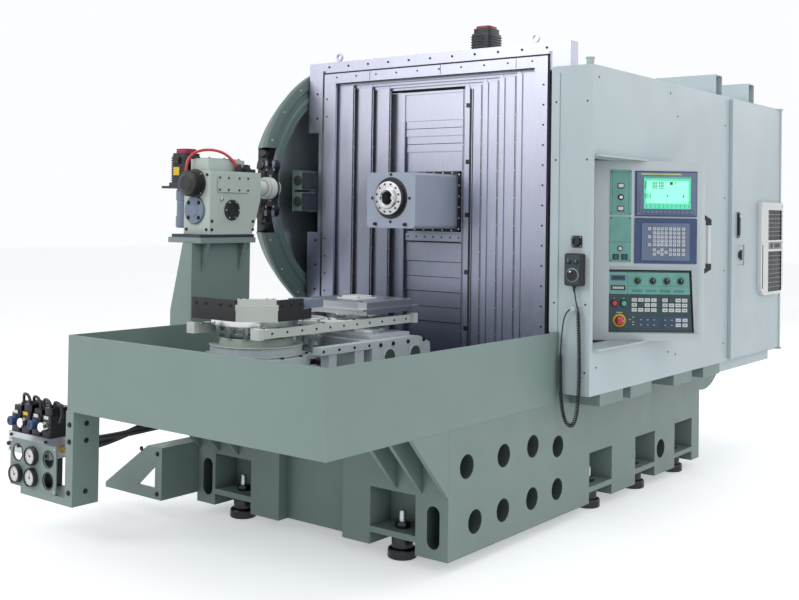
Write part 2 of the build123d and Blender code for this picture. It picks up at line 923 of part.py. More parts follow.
def axis_motor():
    """Servo motor of the vertical axis on the column's top."""
    top = column_top + motor_height
    body = block(around(spindle_x, motor_side), around(motor_y, motor_side), (column_top, top - motor_neck))
    body = chamfer(body.edges().filter_by(Axis.Z), motor_corner)
    inner = motor_side - 2 * motor_corner
    body += block(around(spindle_x, inner), around(motor_y, inner), (top - motor_neck, top - motor_cap))
    return body + rod("Z", (spindle_x, motor_y), (top - motor_cap, top), motor_cap_radius, some_sides)


def ram_section(margin, y):
    """The ram's section, larger by a margin all round, between two places along Y."""
    return block(around(spindle_x, ram_width + 2 * margin), y, (ram_low - margin, ram_high + margin))


def head_carriage():
    """Head body climbing in the column, with the moving cover plate round the ram."""
    width = column_slot - 2 * guide
    body = block(around(spindle_x, width), (head_front, head_rear), (head_low, head_high))
    body += ram_section(collar_margin, (slat_plane(3), head_front))
    body += block(around(spindle_x, slat_width), (slat_plane(3), slat_plane(3) + cover_sheet),
                  (plate_low, plate_high))
    return body - ram_section(guide, (slat_plane(3), head_rear))


def ram():
    """Square spindle ram with a round recess for the spindle nose."""
    body = ram_section(0, (ram_front, ram_rear))
    body = chamfer(body.edges().filter_by(Axis.Y), ram_corner)
    body -= rod("Y", (spindle_x, spindle_z), (ram_front, ram_front + recess_depth), recess_radius,
                many_sides)
    bore = (bearing_radius + running) / cos(pi / many_sides)
    return body - rod("Y", (spindle_x, spindle_z), (ram_front, ram_front + bearing_depth), bore, many_sides)


def spindle():
    """Spindle with its nose flange, drive keys and tapered tool socket."""
    deep = ram_front + recess_depth
    axis = (spindle_x, spindle_z)
    body = rod("Y", axis, (nose_front + nose_step, deep - guide), nose_radius, many_sides)
    body += rod("Y", axis, (nose_front, nose_front + nose_step), nose_step_radius, many_sides)
    body += rod("Y", axis, (deep - guide, ram_front + bearing_depth - sheet), bearing_radius, many_sides)
    socket = Cone(taper_mouth, taper_mouth - taper_depth * taper_slope, taper_depth, align=ON_END)
    body -= Plane(origin=(spindle_x, nose_front, spindle_z), z_dir=AXES["Y"]) * socket
    return body + [block(around(spindle_x + sign * key_place, key_width),
                         (nose_front - key_height, nose_front),
                         around(spindle_z, key_width)) for sign in (-1, 1)]


# Pallets and changer

def table_base():
    """Cast base of the rotary table, arched at its foot and stepped at its top."""
    x = (2 * table_x - base_right, base_right)
    shoulder = base_shoulder + base_crown
    foot, slope = base_slope
    points = [(base_front, tray_floor), (base_rear, tray_floor), (base_rear - foot, base_shoulder),
              (base_rear - slope, shoulder), (base_front, shoulder)]
    body = outline("X", points, x)
    depth = (x[1] - arch_depth, x[1])
    for y in arches:
        body -= block(depth, around(y, 2 * arch_radius), (tray_floor, base_shoulder - arch_radius))
        body -= rod("X", (y, base_shoulder - arch_radius), depth, arch_radius, some_sides)
    inset, rise = base_plinth
    return body + block((x[0] + inset, x[1] - inset), (base_front + inset, base_rear - slope),
                        (shoulder, shoulder + rise))


def rotary_table():
    """Turntable that the rear pallet's hub stands on."""
    low = turntable_top - turntable_thickness
    return rod("Z", (table_x, table_y), (low, turntable_top), turntable_radius, many_sides)


def changer_base():
    """Round pedestal and drum below the front pallet, with the changer's own base and side bar."""
    body = rod("Z", (table_x, station_y), (tray_floor, drum_low), pedestal_radius, many_sides)
    body += rod("Z", (table_x, station_y), (drum_low, drum_high), drum_radius, many_sides)
    body += block(around(table_x, 2 * collar_half), (station_y, base_front), (tray_floor, post_collar))
    body -= rod("Z", (table_x, changer_y), (post_foot, post_collar), post_radius + guide, many_sides)
    width, height, lift = side_bar
    bar_low = base_shoulder + lift
    body += block((base_right - width, base_right), (side_bar_front, base_front),
                  (bar_low, bar_low + height))
    body += block((base_right - width, base_right - lift),
                  (side_bar_front + width, side_bar_front + 2 * width),
                  (tray_floor, bar_low))
    return body + block((table_x + collar_half, base_right - lift), (base_front - width - side_bar_foot,
                                                                     base_front - width),
                        (tray_floor, bar_low))


def station_table():
    """Turning plate of the loading station below the front pallet."""
    return rod("Z", (table_x, station_y), (drum_high, turntable_top), turntable_radius, many_sides)


def changer_hub():
    """Lifting post of the pallet changer."""
    return rod("Z", (table_x, changer_y), (post_foot, fork_low), post_radius, many_sides)


def changer_fork():
    """Two long beams on a cross hub that carry both pallets."""
    z = (fork_low + guide, fork_high)
    inner = fork_beam_x - fork_beam_width
    body = rod("Z", (table_x, changer_y), z, hub_radius, many_sides)
    body += block(around(table_x, 2 * inner), around(changer_y, 2 * fork_hub_half), z)
    for sign in (-1, 1):
        body += block(sorted((table_x + sign * inner, table_x + sign * fork_beam_x)),
                      (fork_front, fork_rear), z)
    left = table_x - fork_beam_x
    return body + [block((left - fork_tie, left), (y, y + fork_tie), z) for y in (fork_front,
                                                                                  fork_front + 2 * fork_tie)]


def pallet(y, hole_sides=0):
    """Square pallet with cut corners on its round clamping hub, and a tapped hole near each corner."""
    low = pallet_top - pallet_thickness
    body = block(around(table_x, pallet_side), around(y, pallet_side), (low, pallet_top))
    body = chamfer(body.edges().filter_by(Axis.Z), pallet_chamfer)
    body += rod("Z", (table_x, y), (turntable_top + guide, low), pallet_hub_radius, many_sides)
    reach = pallet_hole_pitch / 2
    hole_z = (pallet_top - pallet_hole_depth, pallet_top)
    return body - [rod("Z", (table_x + u * reach, y + v * reach), hole_z, pallet_hole_radius, hole_sides)
                   for u in (-1, 1) for v in (-1, 1)]


def rear_pallet():
    """Pallet on the rotary table with its raised centre plate."""
    side, rise = centre_plate
    return pallet(table_y) + block(around(table_x, side), around(table_y, side),
                                   (pallet_top, pallet_top + rise))


def front_pallet():
    """Pallet at the loading station with two edge plates, a corner block and a clamping block."""
    half = pallet_side / 2
    top = pallet_top + fixture_height
    corner = fixture_corner
    front = station_y - half
    right = table_x + half
    body = pallet(station_y, few_sides)
    body += block((table_x - half + fixture_plate, table_x + corner), (front, front + fixture_plate),
                  (pallet_top, top))
    body += block((right - fixture_plate, right), (station_y - corner, station_y + corner),
                  (pallet_top, top))
    points = [(table_x + corner, front), (right, station_y - corner),
              (right - corner / 2, station_y - corner / 2),
              (table_x + corner / 2, front + corner / 2)]
    body += outline("Z", points, (pallet_top, top + sheet))
    return body + block((table_x + corner, right), (station_y + 1.5 * corner, station_y + half),
                        (pallet_top, pallet_top + fixture_height - sheet))


# Tool arm

def atc_pedestal():
    """Tapered post of the tool arm with its gussets, top flange and foot on the side of the bed."""
    x_low = atc_post_left - atc_post_flare
    foot = atc_post_foot
    post = [(atc_post_right, foot), (x_low, foot), (x_low, atc_post_waist), (atc_post_left, atc_flange_low),
            (atc_post_right, atc_flange_low)]
    body = outline("Y", post, (atc_post_front, atc_post_rear))
    body += block((atc_post_right, -bed_width), (atc_post_front, atc_post_rear), (foot, tray_seat))
    body += block((atc_flange_left, atc_flange_right), flange_y(), (atc_flange_low, atc_flange_top))
    rib = [(atc_post_right, rib_low), (atc_post_right, atc_flange_low),
           (atc_flange_right - rib_thickness / 2, atc_flange_low)]
    for y in (atc_post_front + rib_insets[0], atc_post_rear - rib_insets[1]):
        body += outline("Y", rib, (y, y + rib_thickness))
    return body


def flange_y():
    """Y limits of the pedestal's flange and of the cross slide on it."""
    return atc_post_front + atc_flange_inset[0], atc_post_rear - atc_flange_inset[1]


def atc_saddle():
    """Cross slide between the pedestal and the arm's housing."""
    return block((housing_left - saddle_thickness, housing_right), flange_y(),
                 (atc_flange_top + guide, atc_flange_top + saddle_thickness))


def atc_housing():
    """Cast gearbox housing of the tool arm with its upper box and the arm's bearing bore."""
    low = atc_flange_top + saddle_thickness + guide
    foot, waist, rise, belly = housing_step
    side = [(housing_front, low), (housing_rear - foot, low), (housing_rear - waist, low + rise),
            (housing_rear, low + belly), (housing_rear, housing_top), (housing_front, housing_top)]
    body = outline("X", side, (housing_left, housing_right))
    left, right, front, rear, height = housing_crown
    body += block((housing_left + left, housing_right - right),
                  (housing_front + front, housing_rear - rear),
                  (housing_top, housing_top + height))
    body -= rod("X", port_place, (housing_right - port_depth, housing_right), port_radius, some_sides)
    body -= rod("Y", (arm_x, arm_z), (housing_rear - arm_bore_depth, housing_rear), arm_shaft + running)
    return body


def atc_drives():
    """Servo motor with its bracket and cylinder, arm motor and flange cover on the housing."""
    reach, thickness = servo_plate
    top = housing_top - servo_side / 2 - thickness
    middle = (housing_left - reach / 2 + thickness, housing_front + servo_side / 2 + 2 * thickness)
    body = block((housing_left - reach, housing_left), around(middle[1], servo_side + thickness),
                 (top - thickness, top))
    body += block(around(middle[0], servo_side), around(middle[1], servo_side), (top, top + servo_height))
    side, height = servo_cap
    body += block(around(middle[0], side), around(middle[1], side),
                  (top + servo_height, top + servo_height + height))
    radius, length = servo_cylinder
    body += rod("Z", middle, (top - thickness - length, top - thickness), radius, few_sides)
    radius, length = arm_motor
    body += rod("Y", arm_motor_place, (housing_front - length, housing_front), radius, few_sides)
    radius, length = arm_cover
    return body + rod("Y", arm_cover_place, (housing_front - length, housing_front), radius, some_sides)


def tool_arm():
    """Double gripper arm with its hub flange and shaft neck."""
    rear = arm_front + arm_thickness
    body = rod("Y", (arm_x, arm_z), (housing_rear - arm_bore_depth + guide, housing_rear + guide),
               arm_shaft)
    body += rod("Y", (arm_x, arm_z), (housing_rear + guide, arm_front), arm_neck, some_sides)
    body += rod("Y", (arm_x, arm_z), (arm_front - arm_flange_thickness, arm_front), arm_flange, many_sides)
    body += block(around(arm_x, 2 * arm_half_width), (arm_front, rear), around(arm_z, 2 * arm_reach))
    for sign in (-1, 1):
        tip = arm_z + sign * arm_reach
        body += rod("Y", (arm_x, tip), (arm_front, rear), grip_radius, some_sides)
        body -= rod("Y", (arm_x, tip), (arm_front, rear), grip_bore, some_sides)
        body -= block(around(arm_x, 2 * grip_mouth), (arm_front, rear),
                      sorted((tip, tip + sign * grip_radius)))
    return body


# Tool magazine

def magazine_guard():
    """Ring-shaped housing round the tool pots, open at the window that faces the tool arm."""
    x = around(magazine_x, guard_width)
    centre = (magazine_y, magazine_z)
    inner = (x[0] + guard_sheet, x[1] - guard_sheet)
    body = rod("X", centre, x, guard_radius, rim_sides) - rod("X", centre, inner,
                                                              guard_radius - guard_sheet, rim_sides)
    body -= rod("X", centre, x, guard_inner, rim_sides)
    front = magazine_y - guard_radius
    return body - block(x, (front, front + guard_window_depth), around(magazine_z, 2 * guard_window))


def magazine_disc():
    """Carrier disc with one flat and one tool pot for each place on its rim."""
    x = around(magazine_x, disc_thickness)
    body = rod("X", (magazine_y, magazine_z), x, pot_root / cos(pi / pot_count), pot_count)
    body -= rod("X", (magazine_y, magazine_z), x, axle_radius + running)
    pot = block(around(magazine_x, pot_width), around(magazine_y, pot_width),
                (magazine_z + pot_root, magazine_z + pot_reach))
    axis = Axis((magazine_x, magazine_y, magazine_z), AXES["X"])
    return body + [pot.rotate(axis, 360 / pot_count * k) for k in range(pot_count)]


def magazine_stand():
    """Stand on the bed's left side with the disc's axle, guard pads and the station bracket."""
    x = (stand_right - stand_thickness, stand_right)
    y = around(magazine_y, 2 * stand_half_width)
    body = block(x, y, (stand_foot, magazine_z + stand_half_width / 2))
    body += block((stand_right, -bed_width), y, (stand_foot, tray_seat))
    body += block(x, (station_front, magazine_y), around(magazine_z, 2 * station_half_height))
    reach, length, height = station_box
    body += [block((stand_right, stand_right + reach), (station_front, station_front + length),
                   around(magazine_z + side * station_half_height / 2, height)) for side in (-1, 1)]
    axle = (magazine_x - disc_thickness / 2 - stand_thickness / 2, x[0])
    body += rod("X", (magazine_y, magazine_z), axle, axle_radius)
    width, height = guard_pad
    low = magazine_z - (guard_radius + guard_inner) / 2
    return body + [block((x[0] - guard_pad_depth, x[0]), around(magazine_y + side * guard_pad_inset, width),
                         (low - height / 2, low + height))
                   for side in (-1, 1)]


# Operator panel, built square to itself round its pivot and then turned

def panel_place():
    return Pos(panel_x, panel_y, panel_z) * Rot(0, 0, panel_turn)


def operator_pod():
    """Panel housing with the recess for the control plate, pivot bores, side slot and grab handle."""
    half = panel_width / 2
    body = block((-half, half), around(0, panel_depth), around(0, panel_height))
    front = -panel_depth / 2
    body -= block((control_left, control_right), (front, front + control_depth),
                  (control_bottom, control_top))
    body -= [block((unit_left, unit_left + unit_width), (front, front + unit_depth),
                   (top - unit_height, top))
             for top in (screen_top, keyboard_top)]
    for sign in (-1, 1):
        end = sign * panel_height / 2
        body -= rod("Z", (0, 0), sorted((end, end - sign * pivot_length)), pivot_radius + running)
    depth, width = side_slot_size
    body -= block((half - depth, half), around(0, width), side_slot)
    body += side_plates()
    body += grab_handle(half)
    return panel_place() * body


def side_plates():
    """Two small plates left of the screen, with rocker keys and a key switch."""
    front = -panel_depth / 2
    face = front - strip_thickness
    plates = [block((control_left, control_left + strip_width), (face, front), z) for z in strips]
    return plates + [block(around(rocker_x, width), (front - rise, face), (low, high))
                     for width, low, high, rise in rockers]


def grab_handle(half):
    """Bar handle on two brackets on the panel's right side."""
    ends = [around(z, handle_end) for z in (handle_span[0] + handle_end / 2,
                                            handle_span[1] - handle_end / 2)]
    bars = [block((half, half + handle_reach), handle_y, z) for z in ends]
    return bars + [block((half + handle_reach - handle_bar, half + handle_reach), handle_y, handle_span)]


def cnc_units():
    """Screen unit and keyboard unit seated in their recesses, with screen bezel and key field."""
    front = -panel_depth / 2
    face = front - unit_rise
    x = (unit_left + guide, unit_left + unit_width - guide)
    screen, keyboard = (block(x, (face, front + unit_depth), (top - unit_height + guide, top - guide))
                        for top in (screen_top, keyboard_top))
    left, right, head, foot, depth = screen_frame
    screen -= block((unit_left + left, unit_left + unit_width - right), (face, face + depth),
                    (screen_top - unit_height + foot, screen_top - head))
    left, right, head, foot, rise = key_field
    keyboard += block((unit_left + left, unit_left + unit_width - right), (face - rise, face),
                      (keyboard_top - unit_height + foot, keyboard_top - head))
    return group([panel_place() * unit for unit in (screen, keyboard)])


def plate_face():
    """Front face of the control plate, measured from the panel's middle."""
    return -panel_depth / 2 + control_depth - control_thickness


def control_plate():
    """Operator's control plate at the bottom of its recess, with holes for the knobs and buttons."""
    y = (plate_face(), plate_face() + control_thickness)
    body = block((control_left + guide, control_right - guide), y,
                 (control_bottom + guide, control_top - guide))
    body -= [rod("Y", (u, knob_z), y, knob_shaft / cos(pi / few_sides) + guide,
                 few_sides) for u in knob_places]
    body -= [rod("Y", (u, button_z), y, button_stem + guide, few_sides) for u in (start_u, hold_u)]
    body -= rod("Y", (stop_u, stop_z), y, stop_stem + guide, few_sides)
    width, height = key_block
    keys = [block((u, u + width), (y[0] - strip_thickness, y[0]), (z, z + height)) for u, z in key_blocks]
    return panel_place() * (body + keys)


def push_button(u, z, travel, height):
    """Button head held clear of the control plate by its travel, on a stem through the plate."""
    face = plate_face()
    body = rod("Y", (u, z), (face - travel - height, face - travel), button_radius, some_sides)
    return panel_place() * (body + rod("Y", (u, z), (face - travel, face + travel), button_stem, few_sides))


def emergency_stop():
    """Mushroom button with a domed head."""
    face = plate_face()
    near = face - stop_gap
    body = rod("Y", (stop_u, stop_z), (near - stop_height, near), stop_radius, some_sides)
    body = chamfer(body.edges().group_by(Axis.Y)[0], stop_edge)
    return panel_place() * (body + rod("Y", (stop_u, stop_z), (near, face + stop_edge), stop_stem,
                                       few_sides))


def override_knob(u):
    """Fluted rotary knob on its shaft."""
    face = plate_face()
    top = face - knob_height
    body = rod("Y", (u, knob_z), (top, face - guide), knob_radius, some_sides)
    width, rise = knob_pointer
    body += block(around(u, width), (top - rise, top), (knob_z - width / 2, knob_z + knob_radius - rise))
    return panel_place() * (body + rod("Y", (u, knob_z), (face - guide, face + shaft_reach), knob_shaft,
                                       few_sides))


# Hand pendant and its lead

def pendant():
    """Hand pendant on the cabinet's front, with a handwheel and two selector knobs."""
    y = (tray_length - pendant_depth, tray_length)
    body = block(around(pendant_x, pendant_width), y, (pendant_low, pendant_high))
    body = chamfer(body.edges().filter_by(Axis.Y).group_by(Axis.Z)[-1], pendant_corner)
    body += rod("Y", (pendant_x, pendant_low + wheel_height), (y[0] - wheel_rise, y[0]), wheel_radius,
                some_sides)
    z = pendant_high - selector_drop
    return body + [rod("Y", (x, z), (y[0] - selector_rise, y[0]), selector_radius, few_sides)
                   for x in around(pendant_x, 2 * selector_half_pitch)]


def lead_y():
    return tray_length - pendant_depth / 2


def corner_radii(points):
    """Arc radius at each corner of a route: 0.45 of the shorter run over the tangent of half the turn."""
    route = [Vector(*point) for point in points]
    radii = []
    for before, here, after in zip(route, route[1:], route[2:]):
        run = min((here - before).length, (after - here).length)
        turn = radians((here - before).get_angle(after - here))
        radii.append(0.45 * run / tan(turn / 2))
    return radii


def tube(points, radius, radii):
    """A plain tube along straight runs joined by tangent arcs."""
    path = FilletPolyline(*points, radius=radii)
    start = Plane(origin=path @ 0, z_dir=path % 0)
    return sweep(start * RegularPolygon(radius, hex_sides), path=path)


def cord(points, radius):
    """A free cord's tube, its arcs as large as the runs allow."""
    radii = corner_radii(points)
    print("cord radii", [round(r) for r in radii])
    return tube(points, radius, radii)


def lead_route(*places):
    """Points of the hanging lead, all in one plane in front of the cabinet."""
    return [(x, lead_y(), z) for x, z in places]


def pendant_cord():
    """Two thin stretches of the lead: pendant to coil, and coil to the cable outlet."""
    upper = lead_route((pendant_x, pendant_low), (pendant_x + 3, pendant_low - 47), coil_start)
    lower = lead_route(coil_end, (coil_end[0] + 8, coil_end[1] + 117), (outlet[0] - 29, outlet[2] - 7),
                       (outlet[0], outlet[2] + 9))
    return group([cord(route, lead_radius) for route in (upper, lower)])


def pendant_coil():
    """Outer shape of the curly stretch, hanging in a U."""
    left, right = coil_sides
    return cord(lead_route(coil_start, (right, coil_low), (left, coil_low), coil_end), coil_radius)


# Units beside the bed

def manifold_bracket():
    """Hanger post below the tray with its foot, and the notched side bracket on the bed."""
    post = (hanger_right - hanger_width, hanger_right)
    hanger = block(post, (0, hanger_depth), (hanger_foot, tray_seat))
    hanger += block((hanger_foot_left, hanger_right), (0, hanger_depth),
                    (hanger_foot, hanger_foot + hanger_foot_height))
    left = -bed_width
    low, high, top = side_bracket_low, side_bracket_high, side_bracket_top
    web = [(left, low), (left - side_bracket_reach, low), (left - side_bracket_reach, side_bracket_lip),
           (left - top, high), (left, high)]
    near, far, foot, head = bracket_hole
    y = (side_bracket_front, side_bracket_front + side_bracket_sheet)
    side = outline("Y", web, y) - outline("Y", [(left - near, foot), (left - far, foot),
                                                (left - near, head)], y)
    side += block((left - side_bracket_sheet, left), (y[0], side_bracket_rear), (low, high))
    side += block((left - top, left), (y[1], side_bracket_rear), (high - side_bracket_sheet, high))
    return group([hanger, side])


def gauge_panel():
    """Plate with three gauges and three round openings, on the hanger's foot."""
    low = hanger_foot + hanger_foot_height
    body = block((gauge_left, gauge_right), (0, gauge_plate), (low, gauge_top))
    third = (gauge_right - gauge_left) / 3
    rows = (gauge_top - gauge_rows[0], low + gauge_rows[1])
    places = [(gauge_left + (k + 0.5) * third, z) for z in rows for k in range(3)]
    gauges = (places[1], places[3], places[4])
    body -= [rod("Y", place, (0, gauge_plate), gauge_bore,
                 some_sides) for place in places if place not in gauges]
    return body + [rod("Y", place, (-gauge_depth, 0), gauge_radius, some_sides) for place in gauges]


def valve_manifold():
    """Manifold block with its valve bodies and a foot, behind the gauge panel."""
    front, rear = valve_y
    top = valve_low + valve_block
    body = block((valve_left, valve_right), valve_y, (valve_low, top))
    body += block((valve_right - valve_block, valve_right), (front, hanger_depth),
                  (hanger_foot + hanger_foot_height, valve_low))
    pitch = (valve_right - valve_left) / valve_count
    for k in range(valve_count):
        x = valve_left + k * pitch
        body += block((x + valve_gap, x + pitch - valve_gap), (front + valve_gap, rear - valve_gap),
                      (top, top + valve_rise + 2 * valve_gap * (k % 2)))
    return body


def hydraulic_hoses():
    """Hoses from the manifold up below the tray to the front of the bed."""
    hoses = []
    for k in range(2):
        rise = tray_seat - hose_drop - hose_pitch * k
        port = valve_low + hose_drop + hose_pitch * k
        x = hose_x + hose_pitch * k
        route = [(valve_right, hose_y, port), (valve_right + hose_lead, hose_y, port), (x, hose_turn, rise),
                 (x, bed_front, rise)]
        hoses.append(tube(route, hose_radius, hose_bend))
    return group(hoses)


NODES = {
    "bed": bed, "levelling_feet": levelling_feet, "coolant_tray": coolant_tray,
    "cabinet_shell": cabinet_shell, "electrical_cabinet": electrical_cabinet,
    "electrical_door": electrical_door, "door_handle": door_handle, "main_switch": main_switch,
    "air_conditioner": air_conditioner, "wall_frame": wall_frame, "column": column, "y_cover": y_cover,
    "axis_motor": axis_motor, "head_carriage": head_carriage, "ram": ram, "spindle": spindle,
    "table_base": table_base, "rotary_table": rotary_table, "changer_base": changer_base,
    "station_table": station_table, "changer_hub": changer_hub, "changer_fork": changer_fork,
    "rear_pallet": rear_pallet, "front_pallet": front_pallet, "atc_pedestal": atc_pedestal,
    "atc_saddle": atc_saddle, "atc_housing": atc_housing, "atc_drives": atc_drives,
    "tool_arm": tool_arm, "magazine_guard": magazine_guard, "magazine_disc": magazine_disc,
    "magazine_stand": magazine_stand, "operator_pod": operator_pod, "cnc_units": cnc_units,
    "control_plate": control_plate, "emergency_stop": emergency_stop, "pendant": pendant,
    "pendant_cord": pendant_cord, "pendant_coil": pendant_coil, "manifold_bracket": manifold_bracket,
    "gauge_panel": gauge_panel, "valve_manifold": valve_manifold, "hydraulic_hoses": hydraulic_hoses,
}

CORD_NODES = ("pendant_cord", "pendant_coil")


def build():
    """All sub-parts by name, in the frame in which they are drawn."""
    parts = {name: make() for name, make in NODES.items()}
    parts |= {f"left_cover_{k}": left_cover(k) for k in (1, 2, 3)}
    parts |= {f"right_cover_{k}": right_cover(5 - k) for k in (1, 2, 3, 4)}
    for k in (1, 2):
        parts[f"upper_slat_{k}"] = slat(k, upper_bottom(k), upper_slat_height, True)
        parts[f"lower_slat_{k}"] = slat(3 + k, lower_bottom(k), lower_slat_height, False)
    parts |= {f"override_knob_{k + 1}": override_knob(u) for k, u in enumerate(knob_places)}
    parts["cycle_start_button"] = push_button(start_u, button_z, button_travel, button_height)
    parts["feed_hold_button"] = push_button(hold_u, button_z, button_travel, button_height)
    return parts


def centre_of(parts):
    """Middle of the whole object's footprint on the floor, without the free lead."""
    boxes = [part.bounding_box() for name, part in parts.items() if name not in CORD_NODES]
    low = [min(tuple(box.min)[k] for box in boxes) for k in range(3)]
    high = [max(tuple(box.max)[k] for box in boxes) for k in range(3)]
    return (low[0] + high[0]) / 2, (low[1] + high[1]) / 2, low[2]


parts = build()
centre = centre_of(parts)
os.makedirs("parts", exist_ok=True)
for name, part in parts.items():
    export_step(Pos(-centre[0], -centre[1], -centre[2]) * part, f"parts/{name}.step")
print("parts", len(parts), "origin moved from", [round(v, 4) for v in centre])
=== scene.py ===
from itertools import product
from math import cos, radians, sin, tau

import bmesh
import bpy
from mathutils import Matrix, Vector


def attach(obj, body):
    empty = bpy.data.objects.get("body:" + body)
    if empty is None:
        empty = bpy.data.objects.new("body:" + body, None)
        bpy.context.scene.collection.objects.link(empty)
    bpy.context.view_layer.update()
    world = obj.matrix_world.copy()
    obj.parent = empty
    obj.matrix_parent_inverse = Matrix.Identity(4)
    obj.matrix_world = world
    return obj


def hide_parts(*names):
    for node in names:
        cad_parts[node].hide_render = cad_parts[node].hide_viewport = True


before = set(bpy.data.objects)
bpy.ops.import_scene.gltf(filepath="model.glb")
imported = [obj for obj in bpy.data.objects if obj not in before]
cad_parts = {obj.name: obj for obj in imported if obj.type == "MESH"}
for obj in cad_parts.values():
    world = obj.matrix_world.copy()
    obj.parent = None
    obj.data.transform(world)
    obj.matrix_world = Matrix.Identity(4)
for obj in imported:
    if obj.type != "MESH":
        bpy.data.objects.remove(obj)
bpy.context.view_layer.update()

# Everything below is drawn in the machine's own millimetres, as in the part's source: X = 0 at the bed's right side,
# Y = 0 at the tray's front, Z = 0 on the floor. This is where the row frame's origin lies in them.
ORIGIN = Vector((-758.5217, 1977.5, 0))
MACHINE = Matrix.Scale(0.001, 4) @ Matrix.Translation(-ORIGIN)
AXES = {"X": 0, "Y": 1, "Z": 2}


# Materials

def node(tree, kind, **values):
    """A shader node with its properties and unlinked sockets set by name."""
    made = tree.nodes.new("ShaderNode" + kind)
    for key, value in values.items():
        if hasattr(made, key):
            setattr(made, key, value)
        else:
            made.inputs[key.replace("_", " ")].default_value = value
    return made


def blank(name):
    """A new node material, its tree, its shader and its object coordinates."""
    made = bpy.data.materials.new(name)
    made.use_nodes = True
    tree = made.node_tree
    return made, tree, tree.nodes["Principled BSDF"], tree.nodes.new("ShaderNodeTexCoord").outputs["Object"]


def noise(tree, coord, scale, detail=3.0, stretch=None):
    """Noise texture over the object's own coordinates, in features a metre; stretch makes it run along an axis."""
    if stretch:
        mapping = node(tree, "Mapping")
        mapping.inputs["Scale"].default_value = stretch
        tree.links.new(coord, mapping.inputs["Vector"])
        coord = mapping.outputs["Vector"]
    made = node(tree, "TexNoise", Scale=scale, Detail=detail)
    tree.links.new(coord, made.inputs["Vector"])
    return made.outputs["Fac"]


def ramp(tree, fac, low, high, start=0.3, end=0.7):
    """Colour ramp between two colours."""
    made = node(tree, "ValToRGB")
    made.color_ramp.elements[0].position = start
    made.color_ramp.elements[1].position = end
    made.color_ramp.elements[0].color = (*low, 1)
    made.color_ramp.elements[1].color = (*high, 1)
    tree.links.new(fac, made.inputs["Fac"])
    return made.outputs["Color"]


def mixed(tree, fac, a, b, mode="MIX"):
    """Mix of two colours, each a socket or a plain colour."""
    made = tree.nodes.new("ShaderNodeMix")
    made.data_type = "RGBA"
    made.blend_type = mode
    for place, value in ((0, fac), (6, a), (7, b)):
        if isinstance(value, bpy.types.NodeSocket):
            tree.links.new(value, made.inputs[place])
        else:
            made.inputs[place].default_value = value if place == 0 else (*value, 1)
    return made.outputs[2]


def bump(tree, shader, height, strength, distance=0.001):
    made = node(tree, "Bump", Strength=strength, Distance=distance)
    tree.links.new(height, made.inputs["Height"])
    tree.links.new(made.outputs["Normal"], shader.inputs["Normal"])


def tint(colour, factor):
    return tuple(min(1, c * factor) for c in colour)


def paint(name, colour, rough=0.42, grain=260, relief=0.18, shade_level=0.45, wear=0.25):
    """Machine enamel: slight clouds in its colour, orange-peel relief, painted shade in corners and rubbed edges."""
    made, tree, shader, coord = blank(name)
    cloud = ramp(tree, noise(tree, coord, 1.7, 4), tint(colour, 0.93), tint(colour, 1.05))
    # Painted shade: ambient occlusion darkens the base colour in corners, crevices and between parts.
    shade = tree.nodes.new("ShaderNodeAmbientOcclusion")
    shade.samples = 6
    shade.inputs["Distance"].default_value = 0.06
    corner = ramp(tree, shade.outputs["AO"], (shade_level, shade_level, shade_level), (1, 1, 1), 0.15, 0.8)
    body = mixed(tree, 1.0, cloud, corner, "MULTIPLY")
    edge = tree.nodes.new("ShaderNodeNewGeometry").outputs["Pointiness"]
    rubbed = ramp(tree, edge, (0, 0, 0), (wear, wear, wear), 0.53, 0.62)
    body = mixed(tree, rubbed, body, tint(colour, 1.3))
    tree.links.new(body, shader.inputs["Base Color"])
    tree.links.new(ramp(tree, noise(tree, coord, 9, 3), (rough - 0.05,) * 3, (rough + 0.07,) * 3),
                   shader.inputs["Roughness"])
    bump(tree, shader, noise(tree, coord, grain, 2), relief, 0.0006)
    shader.inputs["Specular IOR Level"].default_value = 0.45
    return made


def metal(name, colour, rough, stretch=None, grain=90, streak=0.1, relief=0.05, spread=0.08):
    """Bare metal with a ground or brushed finish along one axis."""
    made, tree, shader, coord = blank(name)
    line = noise(tree, coord, grain, 3, stretch)
    cloud = noise(tree, coord, 2.3, 3)
    body = ramp(tree, line, tint(colour, 1 - streak), tint(colour, 1 + streak))
    body = mixed(tree, 0.35, body, ramp(tree, cloud, tint(colour, 0.85), tint(colour, 1.1)))
    tree.links.new(body, shader.inputs["Base Color"])
    tree.links.new(ramp(tree, line, (rough - spread,) * 3, (rough + spread,) * 3), shader.inputs["Roughness"])
    bump(tree, shader, line, relief, 0.0004)
    shader.inputs["Metallic"].default_value = 1.0
    return made


def plastic(name, colour, rough=0.5, grain=700, relief=0.15, coat=0.0):
    """Moulded plastic or rubber with a fine skin and a little unevenness."""
    made, tree, shader, coord = blank(name)
    body = ramp(tree, noise(tree, coord, 14, 3), tint(colour, 0.9), tint(colour, 1.1))
    tree.links.new(body, shader.inputs["Base Color"])
    tree.links.new(ramp(tree, noise(tree, coord, 40, 2), (rough - 0.06,) * 3, (rough + 0.06,) * 3),
                   shader.inputs["Roughness"])
    bump(tree, shader, noise(tree, coord, grain, 2), relief, 0.0003)
    shader.inputs["Coat Weight"].default_value = coat
    return made


def screen_glow(name, colour, strength):
    """Lit screen with faint scan lines."""
    made, tree, shader, coord = blank(name)
    lines = noise(tree, coord, 500, 1, (0.02, 0.02, 1))
    glow = ramp(tree, lines, tint(colour, 0.92), tint(colour, 1.05))
    tree.links.new(glow, shader.inputs["Base Color"])
    tree.links.new(glow, shader.inputs["Emission Color"])
    shader.inputs["Emission Strength"].default_value = strength
    shader.inputs["Roughness"].default_value = 0.2
    return made


